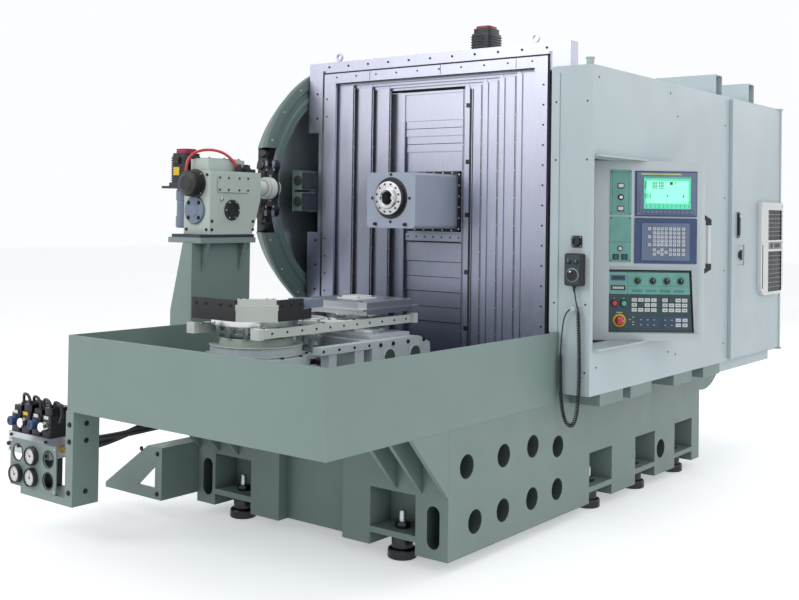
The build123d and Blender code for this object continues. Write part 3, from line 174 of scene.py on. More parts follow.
def cover_steel():
    """Stainless way-cover sheet: upright brushing, cloudy cold tint, darker towards its foot."""
    made, tree, shader, coord = blank("cover_steel")
    line = noise(tree, coord, 60, 4, (12, 12, 0.35))
    low, high = (0.3, 0.32, 0.43), (0.66, 0.67, 0.76)
    place = tree.nodes.new("ShaderNodeSeparateXYZ")
    tree.links.new(coord, place.inputs["Vector"])
    span = node(tree, "MapRange", From_Min=0.6, From_Max=2.1)
    tree.links.new(place.outputs["Z"], span.inputs["Value"])
    climb = ramp(tree, span.outputs["Result"], low, high, 0.0, 0.85)
    body = mixed(tree, 1.0, climb, ramp(tree, line, (0.86,) * 3, (1.04,) * 3), "MULTIPLY")
    body = mixed(tree, 0.5, body, ramp(tree, noise(tree, coord, 1.9, 3), tint(high, 0.75), tint(high, 1.1)),
                 "MULTIPLY")
    tree.links.new(body, shader.inputs["Base Color"])
    tree.links.new(ramp(tree, line, (0.3,) * 3, (0.42,) * 3), shader.inputs["Roughness"])
    bump(tree, shader, line, 0.05, 0.0004)
    shader.inputs["Metallic"].default_value = 0.85
    return made


CAST = paint("casting_paint", (0.22, 0.295, 0.28), 0.42)
# Shaded copy of the casting paint: painted shade for the insides of holes and slots.
CAST_SHADED = paint("casting_shade_paint", (0.06, 0.085, 0.08), 0.6)
TRAY = paint("tray_paint", (0.215, 0.295, 0.275), 0.42, 320, 0.12)
GUARD = paint("guard_paint", (0.13, 0.19, 0.18), 0.45, 320, 0.12)
CABINET = paint("cabinet_paint", (0.53, 0.62, 0.65), 0.38, 420, 0.1, 0.6, 0.1)
POD = paint("pod_paint", (0.6, 0.67, 0.69), 0.36, 420, 0.1, 0.6, 0.1)
WHITE = paint("white_paint", (0.78, 0.8, 0.79), 0.4, 420, 0.08, 0.6, 0.1)
HOUSING = paint("housing_paint", (0.5, 0.58, 0.53), 0.4, 300, 0.12)
CREAM = paint("cream_paint", (0.66, 0.7, 0.66), 0.4, 300, 0.1)
PALE_CAST = paint("light_casting_paint", (0.55, 0.6, 0.64), 0.4, 300, 0.12)
RAM = paint("ram_paint", (0.4, 0.45, 0.56), 0.34, 420, 0.06, 0.6, 0.1)
MOTOR = paint("motor_paint", (0.018, 0.022, 0.035), 0.35, 420, 0.1, 0.6, 0.1)
SERVO = paint("servo_paint", (0.2, 0.25, 0.33), 0.4, 420, 0.1)
SERVO_DARK = paint("servo_dark_paint", (0.035, 0.04, 0.06), 0.4, 420, 0.1)
STEEL = metal("ground_steel", (0.6, 0.6, 0.61), 0.28, (6, 6, 6))
CHROME = metal("polished_steel", (0.8, 0.8, 0.82), 0.12, None, 40, 0.03, 0.01, 0.03)
IRON = metal("machined_iron", (0.52, 0.54, 0.58), 0.36, (4, 40, 4))
BRASS = metal("brass", (0.72, 0.5, 0.2), 0.3)
DARK_STEEL = metal("black_oxide", (0.05, 0.05, 0.055), 0.35)
COVER = cover_steel()
BLACK = plastic("black_plastic", (0.018, 0.018, 0.02), 0.45)
RUBBER = plastic("black_rubber", (0.014, 0.014, 0.016), 0.6)
GREY = plastic("grey_plastic", (0.25, 0.27, 0.28), 0.5)
TEAL = plastic("teal_plate", (0.17, 0.42, 0.37), 0.45, 500, 0.08)
DEEP_TEAL = plastic("teal_print", (0.03, 0.16, 0.16), 0.5)
SLATE = plastic("slate_plate", (0.022, 0.062, 0.07), 0.45, 500, 0.08)
BLUE_GREY = plastic("blue_grey_bezel", (0.15, 0.2, 0.31), 0.45, 500, 0.08)
NAVY = plastic("navy_plate", (0.04, 0.075, 0.19), 0.4)
PALE = plastic("pale_strip", (0.55, 0.6, 0.25), 0.4)
KEY = plastic("light_keys", (0.68, 0.7, 0.7), 0.5)
RED = plastic("red_plastic", (0.6, 0.02, 0.03), 0.3, 700, 0.05, 0.5)
MAGENTA = plastic("cap_plastic", (0.4, 0.02, 0.09), 0.35)
DARK_RED = plastic("dark_red_plastic", (0.3, 0.015, 0.05), 0.35)
GREEN = plastic("green_plastic", (0.06, 0.5, 0.28), 0.3, 700, 0.05, 0.5)
YELLOW = plastic("yellow_plastic", (0.8, 0.55, 0.02), 0.4)
SCREEN = screen_glow("screen_green", (0.08, 0.55, 0.33), 0.7)
SCREEN_DARK = screen_glow("screen_ink", (0.01, 0.14, 0.1), 0.1)
SCREEN_LIGHT = screen_glow("screen_light", (0.25, 0.85, 0.58), 0.75)


# Shapes

BOX_FACES = [(0, 2, 3, 1), (4, 5, 7, 6), (0, 1, 5, 4), (2, 6, 7, 3), (0, 4, 6, 2), (1, 3, 7, 5)]


def circle(centre, radius, count, start=0.0):
    """Places evenly round a circle, the first one start steps past its rightmost point."""
    turns = [tau * (k + start) / count for k in range(count)]
    return [(centre[0] + radius * cos(turn), centre[1] + radius * sin(turn)) for turn in turns]


def across(axis, place, flat):
    """Points drawn across an axis, set at a place along it."""
    k = AXES[axis]
    return [(*p[:k], place, *p[k:]) for p in flat]


class Shape:
    """A mesh under construction in machine millimetres. Solids may overlap; carve() takes the cuts out of them."""

    def __init__(self, name, material, place=Matrix()):
        self.name, self.materials, self.place = name, [material], place
        self.solid, self.cuts = bmesh.new(), bmesh.new()

    def add(self, points, faces, mat=None, cut=False):
        """Faces over points, in the shape's own frame and in its first material where none is named."""
        mat = mat or self.materials[0]
        if mat not in self.materials:
            self.materials.append(mat)
        mesh, slot = self.cuts if cut else self.solid, self.materials.index(mat)
        corners = [mesh.verts.new(point) for point in points]
        for face in faces:
            made = mesh.faces.new([corners[k] for k in face])
            made.material_index = slot

    def box(self, x, y, z, mat=None, cut=False):
        """A block between two limits each way."""
        self.add([(a, b, c) for c in z for b in y for a in x], BOX_FACES, mat, cut)

    def poly(self, axis, points, span, mat=None, cut=False):
        """An outline, counter-clockwise or not, drawn across one axis and carried along it."""
        area = sum(a[0] * b[1] - b[0] * a[1] for a, b in zip(points, [*points[1:], points[0]]))
        if (area > 0) == (axis == "Y"):
            points = points[::-1]
        n = len(points)
        faces = [tuple(reversed(range(n))), tuple(range(n, 2 * n))]
        faces += [(i, (i + 1) % n, n + (i + 1) % n, n + i) for i in range(n)]
        self.add([p for place in span for p in across(axis, place, points)], faces, mat, cut)

    def turned(self, axis, centre, profile, sides=40, mat=None, cut=False):
        """A lathe shape: profile is (place along the axis, radius) from end to end; radius 0 closes an end."""
        rings, points, faces = [], [], []
        for place, radius in profile:
            count = sides if radius else 1
            rings.append(range(len(points), len(points) + count))
            points += across(axis, place, circle(centre, radius, count, 0.5))
        for a, b in zip(rings, rings[1:]):
            for j in range(sides):
                quad = [a[j % len(a)], a[(j + 1) % len(a)], b[(j + 1) % len(b)], b[j % len(b)]]
                faces.append(tuple(dict.fromkeys(quad)))
        if len(rings[0]) > 1:
            faces.append(tuple(reversed(rings[0])))
        if len(rings[-1]) > 1:
            faces.append(tuple(rings[-1]))
        self.add(points, faces, mat, cut)

    def rod(self, axis, centre, span, radius, sides=40, mat=None, cut=False, edge=0.0):
        """A round bar with its ends' edges broken by edge."""
        a, b = span
        profile = [(a, radius), (b, radius)]
        if edge:
            profile = [(a, radius - edge), (a + edge, radius), (b - edge, radius), (b, radius - edge)]
        self.turned(axis, centre, profile, sides, mat, cut)

    def ring(self, axis, centre, span, radius, bore, sides=40, mat=None, edge=0.0):
        """A round tube with its outer edges broken by edge."""
        a, b = span
        loop = [(a, bore), (a, radius - edge), (a + edge, radius), (b - edge, radius), (b, radius - edge), (b, bore)]
        if not edge:
            loop = [(a, bore), (a, radius), (b, radius), (b, bore)]
        self.lathe(axis, centre, loop, sides, mat)

    def lathe(self, axis, centre, loop, sides=40, mat=None):
        """A closed profile of (place along the axis, radius) turned round the axis."""
        points = [p for place, radius in loop for p in across(axis, place, circle(centre, radius, sides, 0.5))]
        faces = []
        for low in range(0, len(points), sides):
            high = (low + sides) % len(points)
            faces += [(low + j, low + (j + 1) % sides, high + (j + 1) % sides, high + j) for j in range(sides)]
        self.add(points, faces, mat)

    def screw(self, axis, centre, face, out, radius=6, height=5, mat=None, sides=14):
        """A socket-head screw standing out of a face by height, with its hexagon recess."""
        top = face + out * height
        inner = 0.5 * radius
        profile = [(face - out * 1, radius), (top - out * 0.8, radius), (top, radius - 0.8), (top, inner),
                   (top - out * 0.6 * height, inner), (top - out * 0.6 * height, 0)]
        self.turned(axis, centre, profile, sides, mat)

    def screws(self, axis, places, *rest):
        """A socket-head screw at each of some places."""
        for place in places:
            self.screw(axis, place, *rest)

    def hexheads(self, axis, places, *rest):
        """A hexagon-head bolt at each of some places."""
        for place in places:
            self.hexhead(axis, place, *rest)

    def hexhead(self, axis, centre, face, out, radius=9, height=7, mat=None):
        """A hexagon-head bolt on its washer."""
        self.turned(axis, centre, [(face - out, radius * 1.25), (face + out * 2, radius * 1.25)], 16, mat)
        top = face + out * height
        self.turned(axis, centre, [(face, radius), (top - out, radius), (top, radius * 0.85)], 6, mat)

    def repeated(self, centre, count):
        """Everything drawn so far, set out count times round an axis along X."""
        first = self.solid.verts[:] + self.solid.edges[:] + self.solid.faces[:]
        for k in range(1, count):
            copy = bmesh.ops.duplicate(self.solid, geom=first)
            corners = [item for item in copy["geom"] if isinstance(item, bmesh.types.BMVert)]
            bmesh.ops.rotate(self.solid, verts=corners, cent=centre, matrix=Matrix.Rotation(tau * k / count, 3, "X"))

    def carve(self):
        """Takes the cuts drawn so far out of the solids drawn so far."""
        work = [bpy.data.objects.new("work", bpy.data.meshes.new("work")) for _ in range(2)]
        for thing, mesh in zip(work, (self.solid, self.cuts)):
            bmesh.ops.recalc_face_normals(mesh, faces=mesh.faces)
            mesh.to_mesh(thing.data)
            bpy.context.collection.objects.link(thing)
        cut = work[0].modifiers.new("cut", "BOOLEAN")
        cut.object, cut.solver, cut.use_self = work[1], "EXACT", True
        view = bpy.context.evaluated_depsgraph_get()
        result = work[0].evaluated_get(view).to_mesh()
        self.solid.clear()
        self.solid.from_mesh(result)
        self.cuts.clear()
        for mesh in [thing.data for thing in work]:
            bpy.data.meshes.remove(mesh)

    def done(self, body, replaces=(), bevel=1.5, segments=2, angle=32):
        """Makes the object: placed, scaled, shaded smooth with sharp edges bevelled, riding on its body."""
        mesh = bpy.data.meshes.new(self.name)
        bmesh.ops.recalc_face_normals(self.solid, faces=self.solid.faces)
        self.solid.to_mesh(mesh)
        mesh.transform(MACHINE @ self.place)
        for made in self.materials:
            mesh.materials.append(made)
        mesh.shade_smooth()
        mesh.set_sharp_from_angle(angle=radians(angle))
        piece = bpy.data.objects.new(self.name, mesh)
        bpy.context.collection.objects.link(piece)
        if bevel:
            soften(piece, bevel, segments, angle)
        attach(piece, body)
        if replaces:
            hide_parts(*replaces)


def soften(piece, width, segments=2, angle=32):
    """Broken edges, in millimetres, wherever two faces meet at more than an angle."""
    made = piece.modifiers.new("edges", "BEVEL")
    made.width, made.segments = width / 1000, segments
    made.limit_method, made.angle_limit = "ANGLE", radians(angle)
    made.harden_normals = True
    made.use_clamp_overlap = True


def dress(name, material, width=1.5):
    """A CAD node that keeps its shape: material, merged flat faces and broken edges."""
    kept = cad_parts[name]
    kept.data.materials.clear()
    kept.data.materials.append(material)
    flat = kept.modifiers.new("flat", "DECIMATE")
    flat.decimate_type, flat.angle_limit = "DISSOLVE", radians(1)
    soften(kept, width)
    for face in kept.data.polygons:
        face.use_smooth = True
        face.material_index = 0


def arc(centre, radius, start, end, steps):
    """Points along a circle, from one angle to another in degrees."""
    return [(centre[0] + radius * cos(radians(start + (end - start) * k / steps)),
             centre[1] + radius * sin(radians(start + (end - start) * k / steps))) for k in range(steps + 1)]


def rounded(x, z, radius, steps=5):
    """A rectangle with round corners, between two limits each way."""
    (a, b), (c, d) = x, z
    points = []
    for corner, start in (((b - radius, d - radius), 0), ((a + radius, d - radius), 90),
                          ((a + radius, c + radius), 180), ((b - radius, c + radius), 270)):
        points += arc(corner, radius, start, start + 90, steps)
    return points


# Camera, light and floor

def seen_directly(tree):
    """1 for camera, glossy and transmission rays, 0 for those that light the object."""
    path = tree.nodes.new("ShaderNodeLightPath")
    total = path.outputs["Is Camera Ray"]
    for name in ("Is Glossy Ray", "Is Transmission Ray"):
        both = node(tree, "Math", operation="MAXIMUM")
        tree.links.new(total, both.inputs[0])
        tree.links.new(path.outputs[name], both.inputs[1])
        total = both.outputs[0]
    return total


def floor_paint():
    """Pale floor, a little brighter to the eye than to the object, so that it meets the backdrop."""
    made, tree, shader, coord = blank("floor")
    cloud = ramp(tree, noise(tree, coord, 0.6, 2), (0.86, 0.87, 0.88), (0.9, 0.91, 0.92))
    tree.links.new(cloud, shader.inputs["Base Color"])
    shader.inputs["Roughness"].default_value = 0.75
    shader.inputs["Specular IOR Level"].default_value = 0.2
    shader.inputs["Emission Color"].default_value = (0.98, 0.99, 1.0, 1)
    glow = node(tree, "Math", operation="MULTIPLY")
    tree.links.new(seen_directly(tree), glow.inputs[0])
    glow.inputs[1].default_value = 0.42
    tree.links.new(glow.outputs[0], shader.inputs["Emission Strength"])
    return made


def stage():
    """Camera at the photo's place, soft boxes, pale surroundings and floor."""
    data = bpy.data.cameras.new("camera")
    data.sensor_width, data.lens, data.shift_y, data.clip_end = 36, 49.46, -0.132, 200
    camera = bpy.data.objects.new("camera", data)
    bpy.context.collection.objects.link(camera)
    bpy.context.scene.camera = camera
    turn, pitch, roll = radians(37.629), radians(-0.9365), radians(-0.838)
    ahead = Vector((-sin(turn) * cos(pitch), cos(turn) * cos(pitch), -sin(pitch)))
    level = Vector((cos(turn), sin(turn), 0))
    upright = level.cross(ahead)
    right = level * cos(roll) - upright * sin(roll)
    up = level * sin(roll) + upright * cos(roll)
    place = MACHINE @ Vector((2430.7, -2770.4, 1394.2))
    camera.matrix_world = Matrix.Translation(place) @ Matrix((right, up, -ahead)).transposed().to_4x4()
    for name, spot, size, power in (("key", (-2.6, -6.0, 4.6), 3.5, 125), ("fill", (6.5, -2.5, 3.8), 4.5, 70),
                                    ("top", (0.5, 0.5, 6.5), 5.0, 100), ("rear", (2, 7, 4.5), 4.0, 80)):
        light = bpy.data.lights.new(name, "AREA")
        light.energy, light.shape, light.size = power, "SQUARE", size
        lamp = bpy.data.objects.new(name, light)
        bpy.context.collection.objects.link(lamp)
        lamp.location = spot
        lamp.rotation_euler = (Vector((0, 0, 1.0)) - Vector(spot)).to_track_quat("-Z", "Y").to_euler()
    world = bpy.data.worlds.new("world")
    bpy.context.scene.world = world
    world.use_nodes = True
    shown = seen_directly(world.node_tree)
    strength = node(world.node_tree, "MapRange", To_Min=0.56, To_Max=1.0)
    world.node_tree.links.new(shown, strength.inputs["Value"])
    sky = world.node_tree.nodes["Background"]
    sky.inputs["Color"].default_value = (0.975, 0.985, 1.0, 1)
    world.node_tree.links.new(strength.outputs["Result"], sky.inputs["Strength"])
    bpy.context.scene.view_settings.view_transform = "Standard"
    mesh = bpy.data.meshes.new("floor")
    mesh.from_pydata([(-30, -30, 0), (30, -30, 0), (30, 30, 0), (-30, 30, 0)], [], [(0, 1, 2, 3)])
    mesh.materials.append(floor_paint())
    ground = bpy.data.objects.new("floor", mesh)
    bpy.context.collection.objects.link(ground)


stage()


# The hand pendant's lead

LEAD_Y = 1541.5
COIL_START, COIL_END = (107, 975), (22, 783)
LEAD_ROUTES = {
    "upper": [(87, 1082), (90, 1035), COIL_START],
    "coil": [COIL_START, (134, 466), (16, 466), COIL_END],
    "lower": [COIL_END, (30, 900), (45, 965), (74, 981)],
}


def spline(name, points, bevel=0.0):
    """A curve object over control points in metres, quadratic and starting and ending in its end points."""
    data = bpy.data.curves.new(name, "CURVE")
    data.dimensions, data.bevel_depth, data.bevel_resolution, data.resolution_u = "3D", bevel, 4, 6
    line = data.splines.new("NURBS")
    line.points.add(len(points) - 1)
    for slot, point in zip(line.points, points):
        slot.co = (*point, 1)
    line.order_u, line.use_endpoint_u = 3, True
    made = bpy.data.objects.new(name, data)
    bpy.context.collection.objects.link(made)
    return made


def followed(points):
    """Points along the NURBS line of a route."""
    guide = spline("guide", points)
    guide.data.resolution_u = 24
    bpy.context.view_layer.update()
    mesh = bpy.data.meshes.new_from_object(guide)
    line = [v.co.copy() for v in mesh.vertices]
    data = guide.data
    bpy.data.objects.remove(guide)
    bpy.data.curves.remove(data)
    bpy.data.meshes.remove(mesh)
    return line


def even(line, step):
    """Points a step apart along a line."""
    made, spare = [line[0]], 0.0
    for a, b in zip(line, line[1:]):
        run = (b - a).length
        place = step - spare
        while place < run:
            made.append(a.lerp(b, place / run))
            place += step
        spare = run - (place - step)
    return made


def length_of(line):
    return sum((b - a).length for a, b in zip(line, line[1:]))


def pendant_lead():
    """The lead as one cord: thin from the pendant, curled in a hanging loop, thin again up to its outlet."""
    routes = {key: [MACHINE @ Vector((x, LEAD_Y, z)) for x, z in route] for key, route in LEAD_ROUTES.items()}
    pitch, per_turn, wind = 0.0102, 12, 0.0068
    line = even(followed(routes["coil"]), pitch / per_turn)
    aside = Vector((0, 1, 0))
    points = list(routes["upper"][:-1])
    for k, here in enumerate(line):
        ahead = (line[min(k + 1, len(line) - 1)] - line[max(k - 1, 0)]).normalized()
        swell = min(1, k / (2 * per_turn), (len(line) - 1 - k) / (2 * per_turn))
        turn = tau * k / per_turn
        points.append(here + wind * swell * (aside * cos(turn) + ahead.cross(aside) * sin(turn)))
    points += routes["lower"][1:]
    cord = spline("pendant_lead", points, 0.003)
    cord.data.materials.append(RUBBER)
    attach(cord, "base")
    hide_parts("pendant_cord", "pendant_coil")
    round(length_of(followed(points)), 3)


pendant_lead()


# Bed, feet and tray

BED_WIDTH = 1420
FRONT_POCKETS, SIDE_POCKETS = (-273, -1186), (1984, 2472, 2952)
PORTHOLES = ((844, 396), (1117, 394), (1351, 395), (1569, 360), (907, 167), (1115, 169), (1348, 171), (1565, 171),
             (2660, 176))


def bed():
    """Cast bed with foot pockets, oblong slots, round core holes, gussets and the flared rear ledge."""
    shape = Shape("bed_casting", CAST)
    start, chord = Vector((3169, 422)), Vector((291, 100))
    outward = Vector((chord.y, -chord.x)).normalized()
    outline = [start + chord * k / 12 + outward * 168 * (k / 12) * (1 - k / 12) for k in range(13)]
    outline = [tuple(p) for p in outline]
    outline += [(3460, 540), (3092, 540), (3092, 597), (1564, 597), (1564, 555), (720, 555), (720, 45), (3169, 45)]
    shape.poly("X", outline, (-BED_WIDTH, 0))
    shape.box((-900, -535), (700, 780), (40, 540), CAST, True)
    pockets = ((120, 280), (40, 95))
    for x, height in product(FRONT_POCKETS, pockets):
        shape.box((x - 115, x + 115), (700, 860), height, CAST, True)
    # The oblong slots' walls take the shaded casting paint: painted shade inside them.
    for x in (-71, -1349):
        shape.poly("Y", arc((x, 222), 30, 0, 180, 12) + arc((x, 115), 30, 180, 360, 12), (700, 830), CAST_SHADED, True)
    for side, y, height in product(((-140, 10), (-BED_WIDTH - 10, -BED_WIDTH + 140)), SIDE_POCKETS, pockets):
        shape.box(side, (y - 115, y + 115), height, CAST, True)
    # The round core holes' walls take the shaded casting paint: painted shade inside them.
    for side, hole in product(((-110, 10), (-BED_WIDTH - 10, -BED_WIDTH + 110)), PORTHOLES):
        shape.rod("X", hole, side, 48, 40, CAST_SHADED, True)
    shape.carve()
    for x in (0, -125, -250, -1400, -1275, -1150):
        shape.poly("X", [(720, 291), (478, 555), (720, 555)], (x - 20, x))
    for y in (1791, 2101, 2591, 2970):
        shape.box((0, 149), (y - 115, y + 115), (540, 597))
    shape.box((-BED_WIDTH, -48.3), (1564, 1670), (597, 640))
    for y in (1860, 2240):
        shape.box((-1355, -65), (y - 22.5, y + 22.5), (597, 637))
    shape.done("base", ["bed"], 4, 3)


def feet():
    """Levelling pads, jack screws and their nuts."""
    places = [(x, 790) for x in FRONT_POCKETS] + [(x, y) for x in (-70, -BED_WIDTH + 70) for y in SIDE_POCKETS]
    shape = Shape("levelling_pads", DARK_STEEL)
    for x, y in places:
        shape.turned("Z", (x, y), [(0, 54), (4, 60), (34, 60), (40, 56), (44, 44), (88, 44), (95, 40)], 40)
        shape.turned("Z", (x, y), [(120, 30), (124, 32), (140, 32), (144, 30)], 6)
        shape.turned("Z", (x, y), [(144, 15), (184, 15), (190, 12)], 20, IRON)
    shape.done("base", ["levelling_feet"], 0.8, 2)


bed()
feet()
dress("coolant_tray", TRAY, 2.5)


# Cabinets

def grille(shape, y, z, cells):
    """A square lattice in front of a dark recess."""
    half = 2.2                      # half of a bar's width
    for k in range(1, cells[0]):
        place = y[0] + (y[1] - y[0]) * k / cells[0]
        shape.box((189, 196), (place - half, place + half), z, GREY)
    for k in range(1, cells[1]):
        place = z[0] + (z[1] - z[0]) * k / cells[1]
        shape.box((189, 195.4), y, (place - half, place + half), GREY)


def air_conditioner():
    """Wall unit with round lower corners, two lattice grilles, a control strip and an air slot."""
    shape = Shape("air_conditioner_unit", WHITE)
    outline = arc((3649, 1009), 70, 180, 270, 8) + arc((3886, 1009), 70, 270, 360, 8)
    outline += arc((3942, 1471), 14, 0, 90, 4) + arc((3593, 1471), 14, 90, 180, 4)
    shape.poly("X", outline, (174.3, 199))
    width, grilles = (3700, 3930), (((958, 1195), 9), ((1262, 1440), 7))
    for height, _ in grilles:
        shape.box((188, 210), width, height, BLACK, True)
    shape.box((190, 210), (3600, 3612), (981, 1236), BLACK, True)
    shape.box((197, 210), (3704, 3926), (1208, 1250), GREY, True)
    shape.carve()
    for height, rows in grilles:
        grille(shape, width, height, (9, rows))
    shape.rod("X", (3760, 1229), (196, 199.6), 13, 24, BLACK)
    shape.box((196.5, 198.4), (3815, 3900), (1218, 1240), BLACK)
    shape.screws("X", ((3592, 1462), (3943, 1462), (3592, 1250), (3943, 1250)), 198.4, 1, 5, 1.4, GREY)
    shape.done("electrical_door", ["air_conditioner"], 1.2, 2)


def door_fittings():
    """Lock lever with its key barrel, and the main switch's lever on its round base."""
    lever = Shape("door_lock_lever", BLACK)
    lever.poly("X", rounded((3253.5, 3273.5), (1294, 1417), 9), (181.8, 190))
    lever.rod("X", (3263.5, 1402), (180.2, 182.5), 8, 24)
    lever.rod("X", (3263.5, 1402), (189, 192), 8, 24, CHROME, edge=0.8)
    lever.box((191, 192.6), (3262.6, 3264.4), (1397, 1407))
    lever.done("door_handle", ["door_handle"], 1.5, 3)
    switch = Shape("main_switch_lever", BLACK)
    switch.turned("X", (3312, 1182), [(168.4, 20), (174, 20), (177, 18), (178, 16)], 32)
    switch.poly("X", rounded((3304, 3320), (1153, 1212), 7), (176, 184))
    switch.box((183.4, 184.6), (3311, 3313), (1190, 1209), GREY)
    switch.done("main_switch", ["main_switch"], 1.2, 2)


def door_dish():
    """Black plate behind the lock lever, with its screws."""
    shape = Shape("door_dish", BLACK)
    shape.poly("X", rounded((3241.5, 3285.5), (1279, 1424), 9), (179.5, 181))
    shape.screws("X", ((3263.5, 1287), (3263.5, 1416)), 181, 1, 2.4, 0.6, STEEL, 12)
    shape.done("electrical_door", (), 0.4, 1)


def cabinet_details():
    """Cover screws, vent slots and the round connector on the cabinets."""
    right, left, roof, front = 154, -1530, 2062, 1564
    shape = Shape("cabinet_details", CABINET)
    shape.screws("X", [*product((1625, 2390), (720, 2010)), *product((2480, 3120), (700, 1100, 1500, 1900))], right,
                 1,
                 5, 1.6, DARK_STEEL)
    shape.screws("X", product((2720, 3130), (720, 1100, 1500, 1900)), left, -1, 5, 1.6, DARK_STEEL)
    for k in range(12):
        shape.poly("X", rounded((3420, 3720), (900 + 26 * k, 911 + 26 * k), 5, 2), (-1421.5, -1419.5), BLACK)
    shape.screws("Z", [*product((-1395, 135), (3200, 3450, 3700, 3940)), *((125, y) for y in range(1640, 3150, 245))],
                 roof, 1, 5, 1.6, DARK_STEEL)
    for x, face in ((130, front), (-24, front - 5)):
        shape.screws("Y", product((x,), (700, 1000, 1640, 1900)), face, -1, 4.5, 1.6, DARK_STEEL)
    shape.poly("Y", rounded((60, 112), (1251, 1303), 6), (front - 4.5, front), BLACK)
    shape.turned("Y", (86, 1277), [(1560, 19), (1548, 19), (1546, 17), (1546, 12), (1552, 11), (1552, 0)], 32, BLACK)
    shape.screws("Y", product((67, 105), (1258, 1296)), front - 4.5, -1, 3, 2, STEEL)
    shape.ring("Z", (94, 1654), (2100, 2107), 21, 14, 32, CABINET, 1)
    shape.done("base", (), 0.6, 1)


# Wall, covers, spindle

def wall_details():
    """Screw rows, seal lines and joints on the stainless frame, and the seal over the cover unit."""
    pan, raised = 1600, 1592        # fronts of the frame's pan and of its inner frame
    clear_of_notch = [z for z in range(600, 2200) if not 1270 < z < 1830]
    shape = Shape("wall_screws", DARK_STEEL)
    for x, rows in ((-1500, clear_of_notch), (-40, range(2200))):
        shape.screws("Y", [(x, z) for z in range(720, 2150, 130) if z in rows], pan, -1, 6, 3.5)
    for x, rows in ((-1425, clear_of_notch), (-110, range(2200))):
        shape.screws("Y", [(x, z) for z in range(700, 2080, 92) if z in rows], raised, -1, 4.5, 3)
    top = range(-1420, -50, 132)
    shape.screws("Y", [(x, 2158) for x in top], pan, -1, 6, 3.5)
    shape.screws("Y", [(x + 60, 2100) for x in top if x < -150], raised, -1, 4.5, 3)
    for x, z in (((-1454, -1445), (656, 1283)), ((-1454, -1445), (1813, 2129)), ((-90, -82), (656, 2129)),
                 ((-1454, -82), (2120, 2129))):
        shape.box(x, (1597, 1601), z, RUBBER)
    for x in (-1138, -693, -260):
        shape.box((x, x + 3), (1591.2, 1592.5), (2072, 2119), RUBBER)
    shape.box((-1364, -161), (1591, 1593), (2064, 2069), RUBBER)
    shape.box((-1440, -95), (1684, 1688), (2007, 2054), RUBBER)
    shape.box((-1440, -95), (1681, 1684), (2050, 2054), COVER)
    shape.done("base", (), 0.5, 1)


def cover_lips():
    """Folded edge strips with dark seals and rivets, one on each telescopic cover."""
    edges = {"left_cover_1": (-1263, 1), "left_cover_2": (-1149, 2), "left_cover_3": (-1044, 3),
             "right_cover_1": (-585, 4), "right_cover_2": (-472, 3), "right_cover_3": (-370, 2),
             "right_cover_4": (-265, 1)}
    for name, (edge, layer) in edges.items():
        out = 1 if name.startswith("left") else -1
        face, high = 1604 + 14 * layer, (664, 2054 - 13 * layer)
        shape = Shape(name + "_lip", COVER)
        for near, far, front, rear, z, mat in ((-20, -1.5, -3.5, -0.2, (664, 2060), COVER),
                                               (-1, 13, -1.5, 3, high, RUBBER), (5, 8, -2.5, 0, high, COVER)):
            shape.box(sorted((edge + out * near, edge + out * far)), (face + front, face + rear), z, mat)
        heights = range(690, 1990, 65)
        shape.screws("Y", [(edge + out * (2.5 if k % 2 else 10.5), z) for k, z in enumerate(heights)], face - 1.5, -1,
                     2.4, 1.4, STEEL, 12)
        shape.screws("Y", [(edge - out * 14, z) for z in heights], face - 3.5, -1, 3, 1.6, DARK_STEEL, 12)
        if name == "right_cover_1":
            shape.box((-583, -541), (face - 4.4, face), (664, 2000), RUBBER)
            for x in (-583, -544.5):
                shape.box((x, x + 3.5), (face - 5.2, face), (664, 2000))
            for z in (1920, 1645, 1387, 1109, 837):
                shape.box((-577, -549), (face - 6.2, face - 4), (z - 11, z + 11), DARK_STEEL)
            shape.screws("Y", [(-562, z) for z in range(705, 1990, 70)], face - 4.4, -1, 3.4, 1.6, STEEL, 12)
        shape.done(name, (), 0.6, 1)


SPINDLE = (-790, 1462)          # X and Z of its axis


def axis_motor():
    """Motor on the column's top: finned body, flange with bolts, connector and a red cap."""
    x, y = SPINDLE[0], 2150

    def block(half, corner, z, mat=MOTOR):
        shape.poly("Z", rounded((x - half, x + half), (y - half, y + half), corner), z, mat)

    shape = Shape("column_motor", MOTOR)
    shape.box((x - 65, x + 65), (y - 65, y + 65), (2150, 2164))
    block(60, 14, (2163, 2352))
    for z in range(2180, 2345, 14):
        block(64, 14, (z, z + 5))
    block(52, 12, (2351, 2380), BLACK)
    block(44, 16, (2379, 2394), DARK_RED)
    shape.box((x - 20, x + 20), (y - 64, y - 50), (2300, 2345), BLACK)
    shape.hexheads("Z", product((x - 54, x + 54), (y - 54, y + 54)), 2164, 1, 6, 5, STEEL)
    shape.done("column", ["axis_motor"], 1.2, 2)


def spindle_nose():
    """Spindle with its stepped nose ring, twelve socket screws, drive keys and taper bore."""
    x, z = SPINDLE
    shape = Shape("spindle_nose", STEEL)
    loop = [(1302, 38), (1302, 50), (1304, 52), (1314, 52), (1314, 60), (1316, 79), (1337, 79), (1337, 60),
            (1450, 60), (1450, 18), (1392, 18), (1308, 32)]
    shape.lathe("Y", SPINDLE, loop, 64)
    shape.ring("Y", SPINDLE, (1300.5, 1304), 44, 38, 64, CHROME, 0.8)
    shape.screws("Y", circle(SPINDLE, 67, 12, 0.5), 1315, -1, 5, 3, DARK_STEEL, 18)
    for side in (-1, 1):
        shape.box(sorted((x + side * 33, x + side * 49)), (1296, 1306), (z - 8, z + 8), IRON)
    shape.done("spindle", ["spindle"], 0.8, 2)


